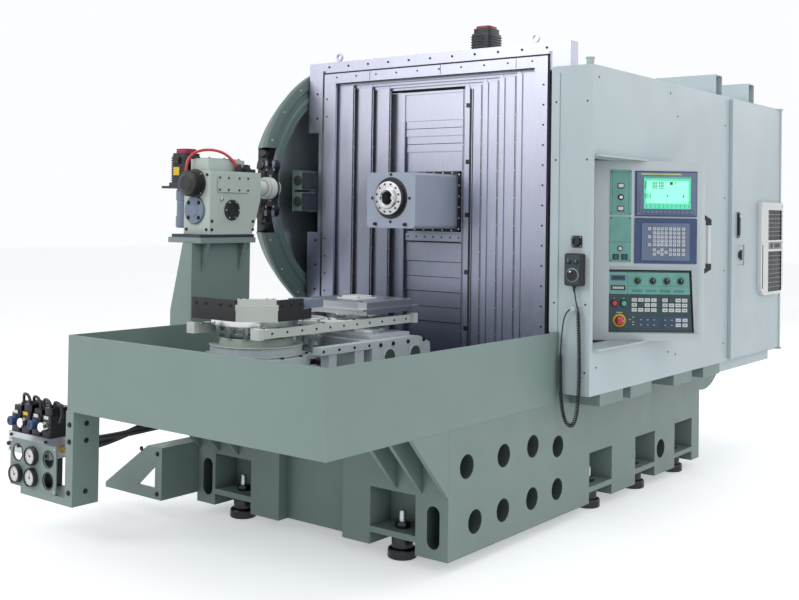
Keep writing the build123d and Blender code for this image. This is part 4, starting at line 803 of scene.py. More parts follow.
def ram_details():
    """Black recess ring, painted shade round the nose, grease points and screws on the ram's front."""
    front = 1340
    shape = Shape("ram_plates", RAM)
    # The ring's black is painted shade in the recess round the spindle nose.
    shape.ring("Y", SPINDLE, (front + 4, front + 29), 99.5, 80, 64, BLACK, 1)
    shape.screws("Y", circle(SPINDLE, 112, 4), front, -1, 7, 4, BLACK, 16)
    for x in (-880, -700):
        shape.turned("Y", (x, 1338), [(1342, 8), (1328, 8), (1322, 5), (1322, 2.5), (1330, 2.5), (1330, 0)], 20,
                     BLACK)
    shape.done("ram", (), 0.8, 2)


def slat_seams():
    """Dark seams across the sliding slats, each riding with its own sheet."""
    for body, face, seams in (("upper_slat_1", 1685, (1819, 1782)), ("upper_slat_2", 1690, (1741, 1704)),
                              ("lower_slat_1", 1700, (1075, 1001.5)), ("lower_slat_2", 1705, (925, 851.5))):
        shape = Shape(body + "_seams", DARK_STEEL)
        for z in seams:
            shape.box((-966, -614), (face - 1, face + 0.2), (z - 1.5, z + 1.5))
            for x in (-955, -625):
                shape.rod("Y", (x, z + 12), (face - 0.9, face + 0.5), 3, 12, STEEL)
        shape.done(body, (), 0, 1)


def carriage_details():
    """The ram's seal with its bolts, the wiper bar below it and the seam at the plate's foot."""
    plate = 1695                    # front of the head's plate
    seal, bar = plate - 8, plate - 9
    sides, ends = ((-953, -937), (-643, -627)), ((1302, 1318), (1586, 1602))
    shape = Shape("carriage_fittings", COVER)
    for x, z in [(x, (1302, 1602)) for x in sides] + [((-953, -627), z) for z in ends]:
        shape.box(x, (seal, plate + 0.2), z, RUBBER)
    shape.screws("Y", product((-945, -635), range(1316, 1600, 54)), seal, -1, 5, 3, STEEL, 14)
    shape.screws("Y", product(range(-905, -640, 57), (1310, 1594)), seal, -1, 5, 3, STEEL, 14)
    shape.box((-962, -618), (bar, plate + 0.2), (1252, 1291))
    shape.box((-962, -618), (bar - 1, plate - 2), (1246, 1254), RUBBER)
    shape.screws("Y", product(range(-945, -630, 52), (1274,)), bar, -1, 4.5, 2.5, DARK_STEEL, 14)
    shape.box((-966, -614), (plate - 1, plate + 0.2), (1150, 1153), DARK_STEEL)
    shape.done("head", (), 0.6, 1)


# Operator panel, drawn square to itself round its pivot: X to its right, Z up, its front at Y = -60

PANEL = Matrix.Translation((154, 2118, 1230)) @ Matrix.Rotation(radians(37.6), 4, "Z")
DIALS = (-45, 27, 93, 159)


def panel_housing():
    """Rounded sheet housing with recesses for its units, a sloped control recess and a louvred back."""
    shape = Shape("panel_housing", POD, place=PANEL)
    shape.poly("Z", rounded((-270, 270), (-60, 60), 17, 6), (-425, 425))
    for low, high in ((163, 378), (-60, 155)):
        shape.box((-66, 229), (-70, -50), (low, high), BLACK, True)
    # the control recess: its sloped rim, then its floor, cut in black as painted shade in the gap round the control
    # plate
    shape.add([(-184, -61, -391), (241, -61, -391), (-184, -44, -386), (226, -44, -386),
               (-184, -61, -72), (241, -61, -72), (-184, -44, -91), (211, -44, -91)], BOX_FACES, POD, True)
    shape.add([(-184, -46, -386), (225, -46, -386), (-184, -30, -386), (225, -30, -386),
               (-184, -46, -91), (210, -46, -91), (-184, -30, -91), (210, -30, -91)], BOX_FACES, BLACK, True)
    shape.box((262, 280), (-4, 4), (180, 290), BLACK, True)
    seams = [((u, u + 3), (-400, 400)) for u in (-244, 241)] + [((-244, 244), (w, w + 3)) for w in (-400, 397)]
    for x, z in seams:
        shape.box(x, (57, 70), z, BLACK, True)
    for k in range(9):
        shape.box((-90, 90), (52, 70), (230 + 15 * k, 236 + 15 * k), BLACK, True)
    shape.carve()
    shape.screws("Y", product((-225, 225), (-380, 0, 380)), 59, 1, 5, 1.4, DARK_STEEL)
    shape.done("panel", ["operator_pod"], 2.2, 3, 40)


def panel_strips():
    """Two side plates with rocker keys, a key switch, a button and connectors, and the grab handle."""
    shape = Shape("panel_strips", TEAL, place=PANEL)
    for low, high in ((167, 381), (-55, 160)):
        shape.poly("Y", rounded((-184, -82), (low, high), 5), (-63, -59.5))
        shape.screws("Y", product((-177, -89), (low + 8, high - 8)), -63, -1, 3.4, 1.6, BLACK, 12)
    for x, z in (((-173, -95), (181, 182.6)), ((-173, -95), (368.4, 370)), ((-173, -171.4), (181, 370)),
                 ((-96.6, -95), (181, 370)), ((-184, -82), (39, 40.6))):
        shape.box(x, (-63.5, -62.8), z, DEEP_TEAL)
    for w in (306, 198):
        shape.box((-149, -117), (-64.4, -62.5), (w - 13, w + 13), BLACK)
        rocker = [(u, v, w + rise) for rise, front in ((-9, -64), (9, -68.5)) for v in (front, -63) for u in (-145,
                                                                                                              -121)]
        shape.add(rocker, BOX_FACES, WHITE)
    shape.rod("Y", (-133, 252), (-67, -62.5), 15, 32, BLACK, edge=1.5)
    shape.rod("Y", (-133, 252), (-70, -66.5), 8, 24, CHROME, edge=1)
    shape.box((-134.2, -131.8), (-71, -69.5), (246, 258), BLACK)
    for u in (-148, -118):
        shape.box((u - 5, u + 5), (-63.6, -62.8), (276, 278), DEEP_TEAL)
    shape.ring("Y", (-134, 9), (-65.5, -62.5), 13, 9, 32, BLACK, 1)
    shape.rod("Y", (-134, 9), (-67, -62.5), 8.6, 24, WHITE, edge=1.5)
    for u in (-154, -113):
        shape.box((u - 15, u + 15), (-65, -62.5), (-44, -17), BLACK)
        shape.turned("Y", (u, -30.5), [(-64, 10), (-69, 10), (-69, 7), (-66, 7), (-66, 0)], 24, DEEP_TEAL)
    shape.done("panel", (), 0.7, 2)
    grip = Shape("panel_grab_handle", BLACK, place=PANEL)
    foot = [(262, 178), (274, 178), (312, 152), (312, 124), (288, 124), (288, 148), (262, 152)]
    grip.poly("Y", foot, (-16, 4))
    grip.poly("Y", [(u, 66 - w) for u, w in foot], (-16, 4))
    grip.poly("Z", rounded((291, 310), (-15, 3), 7), (-66, 132), WHITE)
    grip.done("panel", (), 2.5, 3)


def screen_unit():
    """Screen unit: navy frame, blue-grey bezel, card slot, lit screen with plain bars, soft keys below."""
    shape = Shape("screen_unit", BLUE_GREY, place=PANEL)
    shape.box((-65.6, 228.6), (-64, -50.4), (163.5, 377.5), NAVY)
    shape.box((-58, 225), (-67.5, -63.5), (170, 372))
    shape.box((-24, 199), (-70, -62), (199, 351), BLACK, True)
    shape.box((-55, -43), (-70, -66.5), (186, 274), NAVY, True)
    shape.carve()
    shape.box((-54, -45), (-67.2, -65), (188, 272))
    shape.box((-38, 152), (-68, -67), (360, 367), PALE)
    shape.box((-36, 212), (-67.9, -67), (174, 195), NAVY)
    for k in range(12):
        shape.box((20.5 * k - 33, 20.5 * k - 16), (-69.2, -67), (177, 192))
    shape.done("panel", ["cnc_units"], 0.8, 2)
    glass = Shape("screen_glass", SCREEN, place=PANEL)
    glass.box((-24, 199), (-64.5, -62.5), (199, 351))
    glass.box((-12, 187), (-64.8, -64.4), (226, 332), SCREEN_LIGHT)
    bars = [((u, u + 5.5), (w, w + 4.5)) for u in (16, 24, 32, 47, 55, 63) for w in range(295, 324, 7)]
    bars += [((-18 + 8 * k, -15 + 8 * k), (248, 272)) for k in range(4)]
    bars += [((-12 + 20 * k, -10.4 + 20 * k), (203, 221)) for k in range(11)]
    bars += [((-20, 196), (345, 348)), ((-18, -14), (294, 331)), ((84, 91), (258, 265)), ((160, 166), (254, 265)),
             ((155, 196), (231, 232.5)), ((98, 112), (313, 328)), ((118, 128), (317, 320)), ((118, 128), (324, 327))]
    for x, z in bars:
        glass.box(x, (-65.1, -64.6), z, SCREEN_DARK)
    glass.done("panel", (), 0.0, 1)


def keyboard_unit():
    """Keyboard unit: navy surround, raised field, nine columns of light keys."""
    shape = Shape("keyboard_unit", NAVY, place=PANEL)
    shape.box((-65.6, 228.6), (-66, -50.4), (-59.5, 154.5))
    shape.poly("Y", rounded((-34, 193), (-45, 132), 4), (-70.5, -65.5), BLUE_GREY)
    columns = (2.6, 26, 44.3, 62, 81.2, 102, 121.3, 140.6, 163.5)
    rows = (105, 85.6, 66.6, 47.6, 30, 5.4, -14.3)
    gaps = [(0, 1), (0, 3), (0, 5), (0, 6), (2, 5), (4, 5), (2, 6), (4, 6)]     # (column, row) without a key
    keys = [(u, w) for r, w in enumerate(rows) for c, u in enumerate(columns) if (c, r) not in gaps]
    for u, w in keys + [(44.3, -5), (81.2, -5)]:
        shape.box((u - 7, u + 7), (-73, -70), (w - 7, w + 7), KEY)
        shape.box((u - 3.4, u + 2.6), (-73.3, -72.8), (w - 1.2, w + 3.4), BLUE_GREY)
    shape.done("panel", (), 0.9, 2)


def control_panel():
    """Control plate: dial strip with windows and lamps above, two key blocks, bezels and lower rows below."""
    shape = Shape("control_panel", SLATE, place=PANEL)
    shape.poly("Y", [(-183, -384), (216, -384), (199, -98), (-183, -98)], (-42, -30.2))
    shape.poly("Y", [(-182, -207), (205, -207), (199, -104), (-182, -104)], (-43.2, -41.5), TEAL)
    for x, z in (((-92.6, -91), (-207, -104)), ((-91, 200), (-169, -167.6)), ((-182, 205), (-208, -206.4))):
        shape.box(x, (-43.8, -43), z, DEEP_TEAL)
    shape.box((-172, -103), (-44.6, -43), (-143, -118), NAVY)
    shape.box((-163, -112), (-45.2, -44.4), (-136, -125), BLACK)
    shape.box((-172, -103), (-44.6, -43), (-189, -166), BLACK)
    for k in range(6):
        shape.box((-163 + 9 * k, -156 + 9 * k), (-45.2, -44.4), (-183, -172), WHITE)
        for left in range(-70, 129, 66):
            shape.box((left + 8.5 * k, left + 4.6 + 8.5 * k), (-44, -43), (-197, -185), DEEP_TEAL)
    for u in DIALS:
        for spot in arc((u, -144), 22, -45, 225, 10):
            shape.rod("Y", spot, (-43.9, -43), 1.6 if u == DIALS[0] else 1.1, 10, DEEP_TEAL)
        shape.ring("Y", (u, -144), (-43.8, -43), 17.5, 15, 32, DEEP_TEAL)
    for left, dim in ((-60, (1, 1)), (86, (0, 1))):
        for row, column in product(range(3), range(4)):
            u, w, light = left + 31 * column, (-234, -257.5, -281)[row], (row, column) != dim
            shape.box((u - 12.5, u + 12.5), (-46, -42), (w - 8.5, w + 8.5), KEY if light else SLATE)
            shape.box((u - 6, u + 6), (-46.4, -45.8), (w - 1.4, w + 1.4), SLATE if light else DEEP_TEAL)
    for x in ((-44, 53), (74, 196)):
        shape.box(x, (-42.6, -41.5), (-366, -313), NAVY)
    for w, u in product((-328, -351.5), (-27, 4, 35, 88, 119, 150, 182)):
        shape.box((u - 12, u + 12), (-45, -42), (w - 8, w + 8), KEY if u > 119 else SLATE)
        shape.box((u - 5, u + 5), (-45.4, -44.8), (w - 1.2, w + 1.2), SLATE if u > 119 else KEY)
    for u, w in ((-80, -328), (-64, -340), (-64, -316), (-64, -352)):
        shape.box((u - 5, u + 5), (-43.4, -42), (w - 1.6, w + 1.6), KEY)
    for u, mark in ((-154, 3), (-110, 5)):
        shape.ring("Y", (u, -251), (-46.5, -41.5), 17.5, 12.5, 40, BLACK, 1.2)
        shape.box((u - mark, u + mark), (-42.6, -41.5), (-229, -226), KEY)
    shape.ring("Y", (-130, -332), (-44.5, -41.5), 31, 12, 48, YELLOW, 1.2)
    shape.box((-146, -114), (-42.6, -41.5), (-296, -293), KEY)
    shape.screws("Y", ((-176, -376), (205, -376)), -42, -1, 3.4, 1.8, BLACK, 12)
    shape.done("panel", ["control_plate"], 0.6, 2)


def panel_controls():
    """Knobs, push buttons and the mushroom stop, each on its own moving body."""
    for k, u in enumerate(DIALS, 1):
        knob = Shape(f"dial_knob_{k}", BLACK, place=PANEL)
        knob.turned("Y", (u, -144), [(-42.4, 13.5), (-46, 14), (-48, 12.5), (-49, 9)], 32)
        knob.poly("Y", rounded((u - 4, u + 4), (-157, -131), 3.6), (-61, -46))
        knob.box((u - 0.9, u + 0.9), (-61.5, -60.5), (-143, -132), WHITE)
        knob.done(f"override_knob_{k}", [f"override_knob_{k}"], 0.9, 2)
    cap = [(-38, 7), (-45, 7), (-45, 12), (-51.5, 12), (-53, 10.5), (-53.6, 7), (-53.8, 0)]
    for name, u, material, slot in (("feed_hold", -154, RED, "red_plastic"),
                                    ("cycle_start", -110, GREEN, "green_plastic")):
        button = Shape(name + "_head", material, place=PANEL)
        button.turned("Y", (u, -251), cap, 36)
        button.done(name, [name + "_button"], 0, 1)
    stop = Shape("stop_mushroom", RED, place=PANEL)
    profile = [(-38, 10), (-51, 10), (-51, 17), (-53, 21), (-57, 22.6), (-61, 21.5), (-65, 18), (-67.5, 12),
               (-68.5, 6), (-68.8, 0)]
    stop.turned("Y", (-130, -332), profile, 48)
    for spot in circle((-130, -332), 13, 3):
        stop.rod("Y", spot, (-67.6, -66), 2.4, 12, WHITE)
    stop.done("emergency_stop", ["emergency_stop"], 0, 1)


def hand_pendant():
    """Hand pendant: rounded body, blue-grey face, handwheel with dial marks and crank, selectors, cable gland."""
    wheel = (87, 1130)
    shape = Shape("hand_pendant", BLACK)
    shape.poly("Y", rounded((46, 128), (1082, 1225), 11, 5), (1525, 1563.8))
    shape.poly("Y", rounded((51, 123), (1088, 1219), 8, 5), (1522.5, 1526), SLATE)
    shape.turned("Y", wheel, [(1524, 32), (1521, 32), (1520, 30), (1520, 0)], 40, GREY)
    for spot in circle(wheel, 29, 20):
        shape.rod("Y", spot, (1519.6, 1521), 0.9, 8, WHITE)
    shape.turned("Y", wheel, [(1521, 25), (1511, 25), (1509, 23), (1509, 12), (1512, 10), (1512, 0)], 40)
    shape.turned("Y", (87, 1146), [(1510, 5), (1500, 5.5), (1497, 4), (1497, 0)], 20, CHROME)
    for x in (69, 105):
        shape.turned("Y", (x, 1189), [(1523, 11), (1516, 10.5), (1514, 9), (1514, 0)], 28)
        shape.box((x - 1, x + 1), (1513.4, 1515), (1189, 1198), WHITE)
        for spot in arc((x, 1189), 14.5, 30, 150, 4):
            shape.rod("Y", spot, (1521.8, 1523), 0.8, 8, WHITE)
    shape.turned("Z", (87, LEAD_Y), [(1084, 8), (1078, 8), (1074, 6), (1058, 4.4), (1054, 3.4), (1054, 0)], 24,
                 RUBBER)
    shape.done("base", ["pendant"], 1.0, 2)


# Changer and pallets

TABLE, STATION = (-903, 1235), (-903, 571)      # X and Y of the rotary table's axis and of the loading station's

def chamfered(centre, half, cut):
    """A square's outline with its corners cut."""
    x, y = centre
    return [(x - half + cut, y - half), (x + half - cut, y - half), (x + half, y - half + cut),
            (x + half, y + half - cut), (x + half - cut, y + half), (x - half + cut, y + half),
            (x - half, y + half - cut), (x - half, y - half + cut)]


def pallet_hub(shape, centre, top):
    """The turned hub under a pallet, up to its body, and the four bushes in its upper face."""
    x, y = centre
    hub = [(862.4, 138), (868, 150), (880, 150), (884, 142), (900, 142), (904, 150), (top, 150)]
    shape.turned("Z", centre, hub, 64, CHROME)
    for bush in product((x - 100, x + 100), (y - 100, y + 100)):
        shape.turned("Z", bush, [(984, 11), (985.8, 11), (985.8, 8), (984.4, 8), (984.4, 0)], 20, DARK_STEEL)


def rear_pallet():
    """Square pallet with cut corners, grooved sides, corner screws and a two-tier centre plate."""
    x, y = TABLE
    shape = Shape("table_pallet", IRON)
    shape.poly("Z", chamfered(TABLE, 200, 30), (930, 985))
    shape.ring("Z", TABLE, (948, 956), 300, 193, 4)
    for reach, corner, low in ((70, 12, 984), (52, 8, 991)):
        shape.poly("Z", rounded((x - reach, x + reach), (y - reach, y + reach), corner), (low, low + 8), WHITE)
    shape.screws("Z", product((x - 165, x + 165), (y - 165, y + 165)), 985, 1, 7, 2, DARK_STEEL, 16)
    shape.screws("Z", product((x - 55, x + 55), (y - 55, y + 55)), 992, 1, 5, 3, DARK_STEEL, 14)
    pallet_hub(shape, TABLE, 930.5)
    shape.done("rear_pallet", ["rear_pallet"], 2.0, 2, 40)


def front_pallet():
    """Loading-station pallet: chrome rim disc, black edge plates, white corner block, clamping blocks."""
    x, y = STATION
    shape = Shape("station_pallet", IRON)
    body = chamfered(STATION, 200, 75)
    body[1:3] = [(-828, 371), (-703, 496)]
    shape.poly("Z", body, (940, 983), BLACK)
    shape.poly("Z", [(x + 0.97 * (a - x), y + 0.97 * (b - y)) for a, b in body], (982, 985))
    shape.turned("Z", STATION, [(912, 186), (914, 192), (938, 192), (941, 186)], 72, CHROME)
    pallet_hub(shape, STATION, 914)
    for spot in circle(STATION, 165, 12):
        shape.rod("Z", spot, (864, 914), 11, 20, CHROME)
    shape.box((-1087, -829), (370, 387), (939, 1027), BLACK)
    shape.box((-719, -702), (497, 646), (939, 1027), BLACK)
    shape.poly("Z", [(-828, 371), (-703, 496), (-740.5, 533.5), (-865.5, 408.5)], (985, 1008), CREAM)
    shape.poly("Z", [(-829, 376), (-708, 497), (-702, 491), (-823, 370)], (938, 1006), CREAM)
    middle = Vector((-784.25, 452.25))
    along, outward = Vector((125, 125)).normalized(), Vector((-1, 1)).normalized()
    upper = [middle + along * a + outward * b for a, b in ((-80, -20), (80, -20), (80, 24), (-80, 24))]
    shape.poly("Z", upper, (1007, 1030), CREAM)
    shape.screws("Z", [middle + along * a for a in (-66, -40, 40, 66)], 1030, 1, 6, 2, DARK_STEEL, 16)
    shape.box((-828, -703), (683.5, 771), (985, 1020), SERVO)
    for x in (-800, -731):
        shape.rod("Z", (x, 727), (1019, 1021), 12, 24, BLACK)
        shape.rod("Z", (x, 727), (1019, 1022), 7, 20, CHROME)
    shape.box((-800, -740), (640, 680), (985, 1005), CREAM)
    shape.screws("Y", [(x, 1004) for x in (-1060, -1000, -915, -855)], 370, -1, 6, 3, DARK_STEEL, 16)
    shape.screws("X", [(y, 1004) for y in (515, 571, 627)], -702, 1, 6, 3, DARK_STEEL, 16)
    shape.done("front_pallet", ["front_pallet"], 2.0, 2, 40)


def changer_details():
    """The fork's screws and end blocks and the cover plate on its hub."""
    middle = (-903, 903)
    shape = Shape("fork_screws", STEEL)
    shape.screws("Z", product((-1079, -727), (430, 520, 660, 800, 1005, 1145, 1285, 1375)), 911, 1, 7, 4,
                 DARK_STEEL, 16)
    for x, y in product((-1093, -713), (384, 1419)):
        shape.box((x - 24, x + 24), (y - 14, y + 14), (872.6, 918), WHITE)
    shape.screws("Z", circle(middle, 95, 8, 0.5), 911, 1, 7, 4, DARK_STEEL, 16)
    shape.screws("X", [(y, 892) for y in range(470, 1380, 90)], -713, 1, 5, 3, DARK_STEEL, 14)
    shape.turned("Z", middle, [(910, 70), (918, 70), (922, 62), (922, 0)], 48)
    shape.done("changer_fork", (), 1.2, 2)


def station_details():
    """Bolts, bands and posts of the loading station, and the machined pads of the table base."""
    shape = Shape("station_details", STEEL)
    shape.hexheads("Z", circle(STATION, 214, 12, 0.5), 785, 1, 7, 7, DARK_STEEL)
    for height, bore in (((826, 831), 180), ((786, 796), 190)):
        shape.ring("Z", STATION, height, 199, bore, 72, HOUSING, 1.5)
    for post in ((-985, 405), (-903, 382), (-821, 405), (-745, 470)):
        shape.turned("Z", post, [(569, 14), (780, 14), (782, 19), (786, 19)], 24, CHROME)
    for x in (-760, -700):
        shape.poly("Z", rounded((x - 20, x + 20), (740, 800), 8), (700, 760), MOTOR)
        shape.rod("Y", (x, 730), (690, 742), 15, 28, CHROME, edge=1)
        shape.rod("Y", (x, 730), (662, 692), 9, 24, CHROME, edge=1)
    side = -600                     # right side of the table base
    shape.hexheads("X", [(y, 806) for y in (1040, 1130, 1240, 1360)], side, 1, 8, 7, DARK_STEEL)
    shape.screws("X", [(y, 811) for y in (660, 760, 860, 960)], side, 1, 6, 4, DARK_STEEL, 16)
    for arch in ((1104, 745), (1294, 745)):
        shape.ring("X", arch, (side - 2, side + 4), 47, 38, 32, PALE_CAST, 2)
        # A disc in the shaded casting paint across each opening: painted shade in the hole.
        shape.turned("X", arch, [(side - 4, 39), (side + 1.5, 39), (side + 1.5, 0)], 32, CAST_SHADED)
    shape.done("base", (), 1.0, 2)


# Tool arm

def tube_mesh(shape, points, radius, sides, mat):
    """A round tube along a line of close points, ended with flat faces."""
    rings, aside = [], None
    for k, here in enumerate(points):
        ahead = (points[min(k + 1, len(points) - 1)] - points[max(k - 1, 0)]).normalized()
        if aside is None:
            aside = ahead.cross(Vector((0.3, 0.2, 0.9))).normalized()
        aside = (aside - ahead * aside.dot(ahead)).normalized()
        side = ahead.cross(aside)
        rings.append([here + radius * (aside * cos(tau * j / sides) + side * sin(tau * j / sides))
                      for j in range(sides)])
    corners = [tuple(p) for ring in rings for p in ring]
    faces = [tuple(range(sides))[::-1], tuple(range((len(rings) - 1) * sides, len(rings) * sides))]
    for k in range(len(rings) - 1):
        for j in range(sides):
            a, b = k * sides + j, k * sides + (j + 1) % sides
            faces.append((a, b, b + sides, a + sides))
    shape.add(corners, faces, mat)


def route_line(places):
    """Close points, in machine millimetres, along the NURBS line of a route given in them."""
    return [MACHINE.inverted() @ point for point in followed([MACHINE @ Vector(p) for p in places])]


def arm_gearbox():
    """Covers, bolts, oil port, fittings and the red air line on the tool arm's housing."""
    shape = Shape("gearbox_covers", HOUSING)
    shape.turned("Y", (-1540, 1391), [(790, 66), (777, 66), (774, 63), (774, 30), (771, 28), (771, 0)], 48, SERVO)
    shape.hexheads("Y", circle((-1540, 1391), 50, 4, 0.5), 774, -1, 8, 7, DARK_STEEL)
    shape.turned("X", (929, 1394), [(-1446, 50), (-1436, 50), (-1434, 46), (-1434, 34), (-1440, 32), (-1440, 0)], 40,
                 BLACK)
    shape.screws("X", circle((929, 1394), 42, 6), -1434.5, 1, 4, 3, STEEL, 14)
    shape.poly("X", rounded((830, 1040), (1478, 1560), 14), (-1441, -1434))
    shape.screws("X", product((842, 900, 970, 1028), (1490, 1548)), -1434, 1, 5, 4, DARK_STEEL, 16)
    shape.screws("X", product((800, 1070), (1300, 1340)), -1440, 1, 7, 5, DARK_STEEL, 16)
    shape.screws("Y", product((-1600, -1460), (1300, 1560)), 786, -1, 7, 5, DARK_STEEL, 16)
    shape.poly("Z", rounded((-1600, -1495), (826, 1041), 10), (1637, 1643))
    shape.screws("Z", product((-1590, -1505), (838, 934, 1030)), 1643, 1, 5, 4, DARK_STEEL, 16)
    for x, y in ((-1462, 990), (-1462, 1040), (-1490, 1078)):
        shape.turned("Z", (x, y), [(1579, 17), (1602, 17), (1604, 13), (1616, 13), (1618, 9), (1618, 0)], 6, BLACK)
    shape.box((-1476, -1448), (1026, 1092), (1580, 1596), BLACK)
    line = route_line([(-1600, 779, 1532), (-1603, 772, 1600), (-1590, 800, 1668), (-1530, 870, 1690),
                       (-1480, 950, 1660), (-1462, 990, 1596)])
    tube_mesh(shape, line, 7, 14, RED)
    shape.turned("X", (860, 1445), [(-1441, 10), (-1432, 10), (-1430, 7), (-1430, 0)], 6, STEEL)
    shape.done("atc_housing", (), 1.2, 2)


def arm_drives():
    """Servo motor with its plate, cap and cylinder, the arm motor and its connector."""
    shape = Shape("arm_drive_units", SERVO_DARK)
    shape.poly("Z", [(-1800, 797), (-1620, 797), (-1620, 929), (-1800, 929)], (1496, 1508))
    x, y = -1698, 863
    shape.poly("Z", rounded((x - 60, x + 60), (y - 60, y + 60), 9), (1508, 1522))
    shape.poly("Z", rounded((x - 54, x + 54), (y - 54, y + 54), 20), (1521, 1656))
    for z in range(1532, 1650, 11):
        shape.poly("Z", rounded((x - 58, x + 58), (y - 58, y + 58), 20), (z, z + 4))
    shape.poly("Z", rounded((x - 50, x + 50), (y - 50, y + 50), 16), (1655, 1669), BLACK)
    shape.poly("Z", rounded((x - 38, x + 38), (y - 38, y + 38), 14), (1668, 1691), MAGENTA)
    shape.box((x - 24, x + 18), (y - 60.5, y - 57), (1560, 1600), YELLOW)
    shape.poly("Z", rounded((x - 22, x + 22), (y - 72, y - 50), 5), (1618, 1650), BLACK)
    profile = [(1496, 40), (1490, 40), (1488, 46), (1440, 46), (1436, 42), (1362, 42), (1358, 46), (1310, 46),
               (1306, 42), (1303, 36), (1303, 0)]
    shape.turned("Z", (x, y), profile, 40, SERVO)
    shape.screws("Z", circle((x, y), 74, 4, 0.5), 1522, 1, 5, 4, DARK_STEEL, 14)
    place = (-1540, 1518)
    shape.turned("Y", place, [(786, 70), (778, 70), (776, 60), (730, 60), (726, 56), (720, 40), (716, 36), (716, 0)],
                 48, BLACK)
    for z in range(12):
        shape.ring("Y", place, (736 + 3.4 * z, 737.6 + 3.4 * z), 62, 58, 48, BLACK)
    shape.screws("Y", circle(place, 65, 4, 0.5), 778, -1, 4, 4, STEEL, 14)
    shape.done("atc_housing", ["atc_drives"], 1.2, 2)


def gripper_arm():
    """Double gripper arm: waisted bar, hub flange with screws, two jaws with spring fingers, bellows neck."""
    x, z = -1500, 1508
    shape = Shape("gripper_arm", DARK_STEEL)
    half = [(x - 26, z + 38), (x - 20, z + 70), (x - 27, z + 88)] + arc((x, z + 112), 36, 210, 90, 10)
    half += [(2 * x - a, b) for a, b in reversed(half)]
    bottom = [(a, 2 * z - b) for a, b in reversed(half)]
    shape.poly("Y", half + bottom, (1250, 1285))
    for side in (-1, 1):
        tip = z + side * 112
        shape.rod("Y", (x, tip), (1240, 1300), 21, 40, DARK_STEEL, True)
        shape.box((x - 16, x + 16), (1240, 1300), sorted((tip, tip + side * 60)), DARK_STEEL, True)
        shape.rod("Y", (x, tip - side * 50), (1240, 1262), 8, 24, STEEL, True)
    shape.carve()
    for side in (-1, 1):
        tip = z + side * 112
        for turn in (-1, 1):
            shape.box(sorted((x + turn * 18, x + turn * 32)), (1243, 1251), sorted((tip + side * 2, tip + side * 28)),
                      SERVO)
            shape.screw("Y", (x + turn * 26, tip - side * 18), 1285, 1, 4.5, 4, STEEL, 14)
            shape.screw("Y", (x + turn * 26, tip - side * 18), 1250, -1, 4.5, 4, STEEL, 14)
    shape.turned("Y", (x, z), [(1100, 22), (1122, 22), (1122, 35), (1210, 35), (1210, 55), (1250, 55)], 48, CREAM)
    shape.ring("Y", (x, z), (1126, 1150), 44, 34, 48, CREAM, 3)
    shape.ring("Y", (x, z), (1198, 1212), 52, 34, 48, CREAM, 4)
    shape.turned("Y", (x, z), [(1284, 40), (1289, 40), (1291, 37), (1291, 14), (1288, 12), (1288, 0)], 40, CREAM)
    shape.screws("Y", circle((x, z), 29, 6, 0.5), 1290, 1, 4, 3, STEEL, 14)
    shape.done("tool_arm", ["tool_arm"], 1.6, 2)


# Tool magazine

MAGAZINE = (1950, 1500)     # Y and Z of its axis


def magazine_guard():
    """Turned sheet guard: a lip and a tapered rim, a ridged near face, hollow inside, open at the window."""
    shape = Shape("magazine_ring", GUARD)
    far, near = -1714.5, -1565.5
    loop = [(far, 562), (far, 618), (far + 4, 624), (far + 10, 626), (far + 60, 664), (near - 34, 694),
            (near - 28, 702), (near - 14, 703.5), (near - 5, 702), (near, 694), (near, 650), (near - 9, 640),
            (near - 9, 612), (near, 604), (near, 590), (near - 6, 584), (near - 6, 562), (near - 10, 562),
            (near - 10, 690), (near - 34, 688), (far + 60, 659), (far + 10, 621), (far + 4, 616), (far + 4, 562)]
    shape.lathe("X", MAGAZINE, loop, 128)
    shape.box((-1800, -1500), (1200, 1375), (1280, 1720), GUARD, True)
    shape.carve()
    for face, out, reach in ((far, -1, 598), (near, 1, 676)):
        spots = [(y, z) for y, z in circle(MAGAZINE, reach, 24, 0.5) if y > 1400 or abs(z - 1500) > 240]
        shape.screws("X", spots, face, out, 6, 2.4, STEEL, 14)
    shape.done("base", ["magazine_guard"], 1.5, 2, 40)


def magazine_pots():
    """Carrier disc with sixty tool pots, their round noses outward, and a lug beside each."""
    shape = Shape("magazine_pots", BLACK)
    x, (y, z) = -1640, MAGAZINE
    pot = [(584, 12), (590, 21), (604, 24), (607, 27), (618, 27), (620, 25.5), (626, 25.5), (628, 27), (642, 27),
           (647, 25), (649.5, 20), (650, 12), (650, 0)]
    shape.turned("Z", (x, y), [(z + reach, radius) for reach, radius in pot], 22)
    shape.box((x - 30, x - 24), (y - 8, y + 8), (z + 596, z + 640), IRON)
    shape.poly("Z", rounded((x - 31, x + 31), (y - 24, y + 24), 9, 3), (z + 604, z + 640))
    shape.repeated((x, y, z), 60)
    for half, radius, bore, sides, mat, edge in ((21, 588, 520, 120, IRON, 3), (26, 634, 586, 120, BLACK, 2),
                                                 (10, 524, 120, 96, IRON, 0), (23, 130, 47, 64, IRON, 4)):
        shape.ring("X", MAGAZINE, (x - half, x + half), radius, bore, sides, mat, edge)
    for face, out in ((x - 23, -1), (x + 23, 1)):
        shape.screws("X", circle(MAGAZINE, 105, 10), face, out, 9, 6, CHROME, 16)
    shape.done("magazine_disc", ["magazine_disc"], 0, 1)


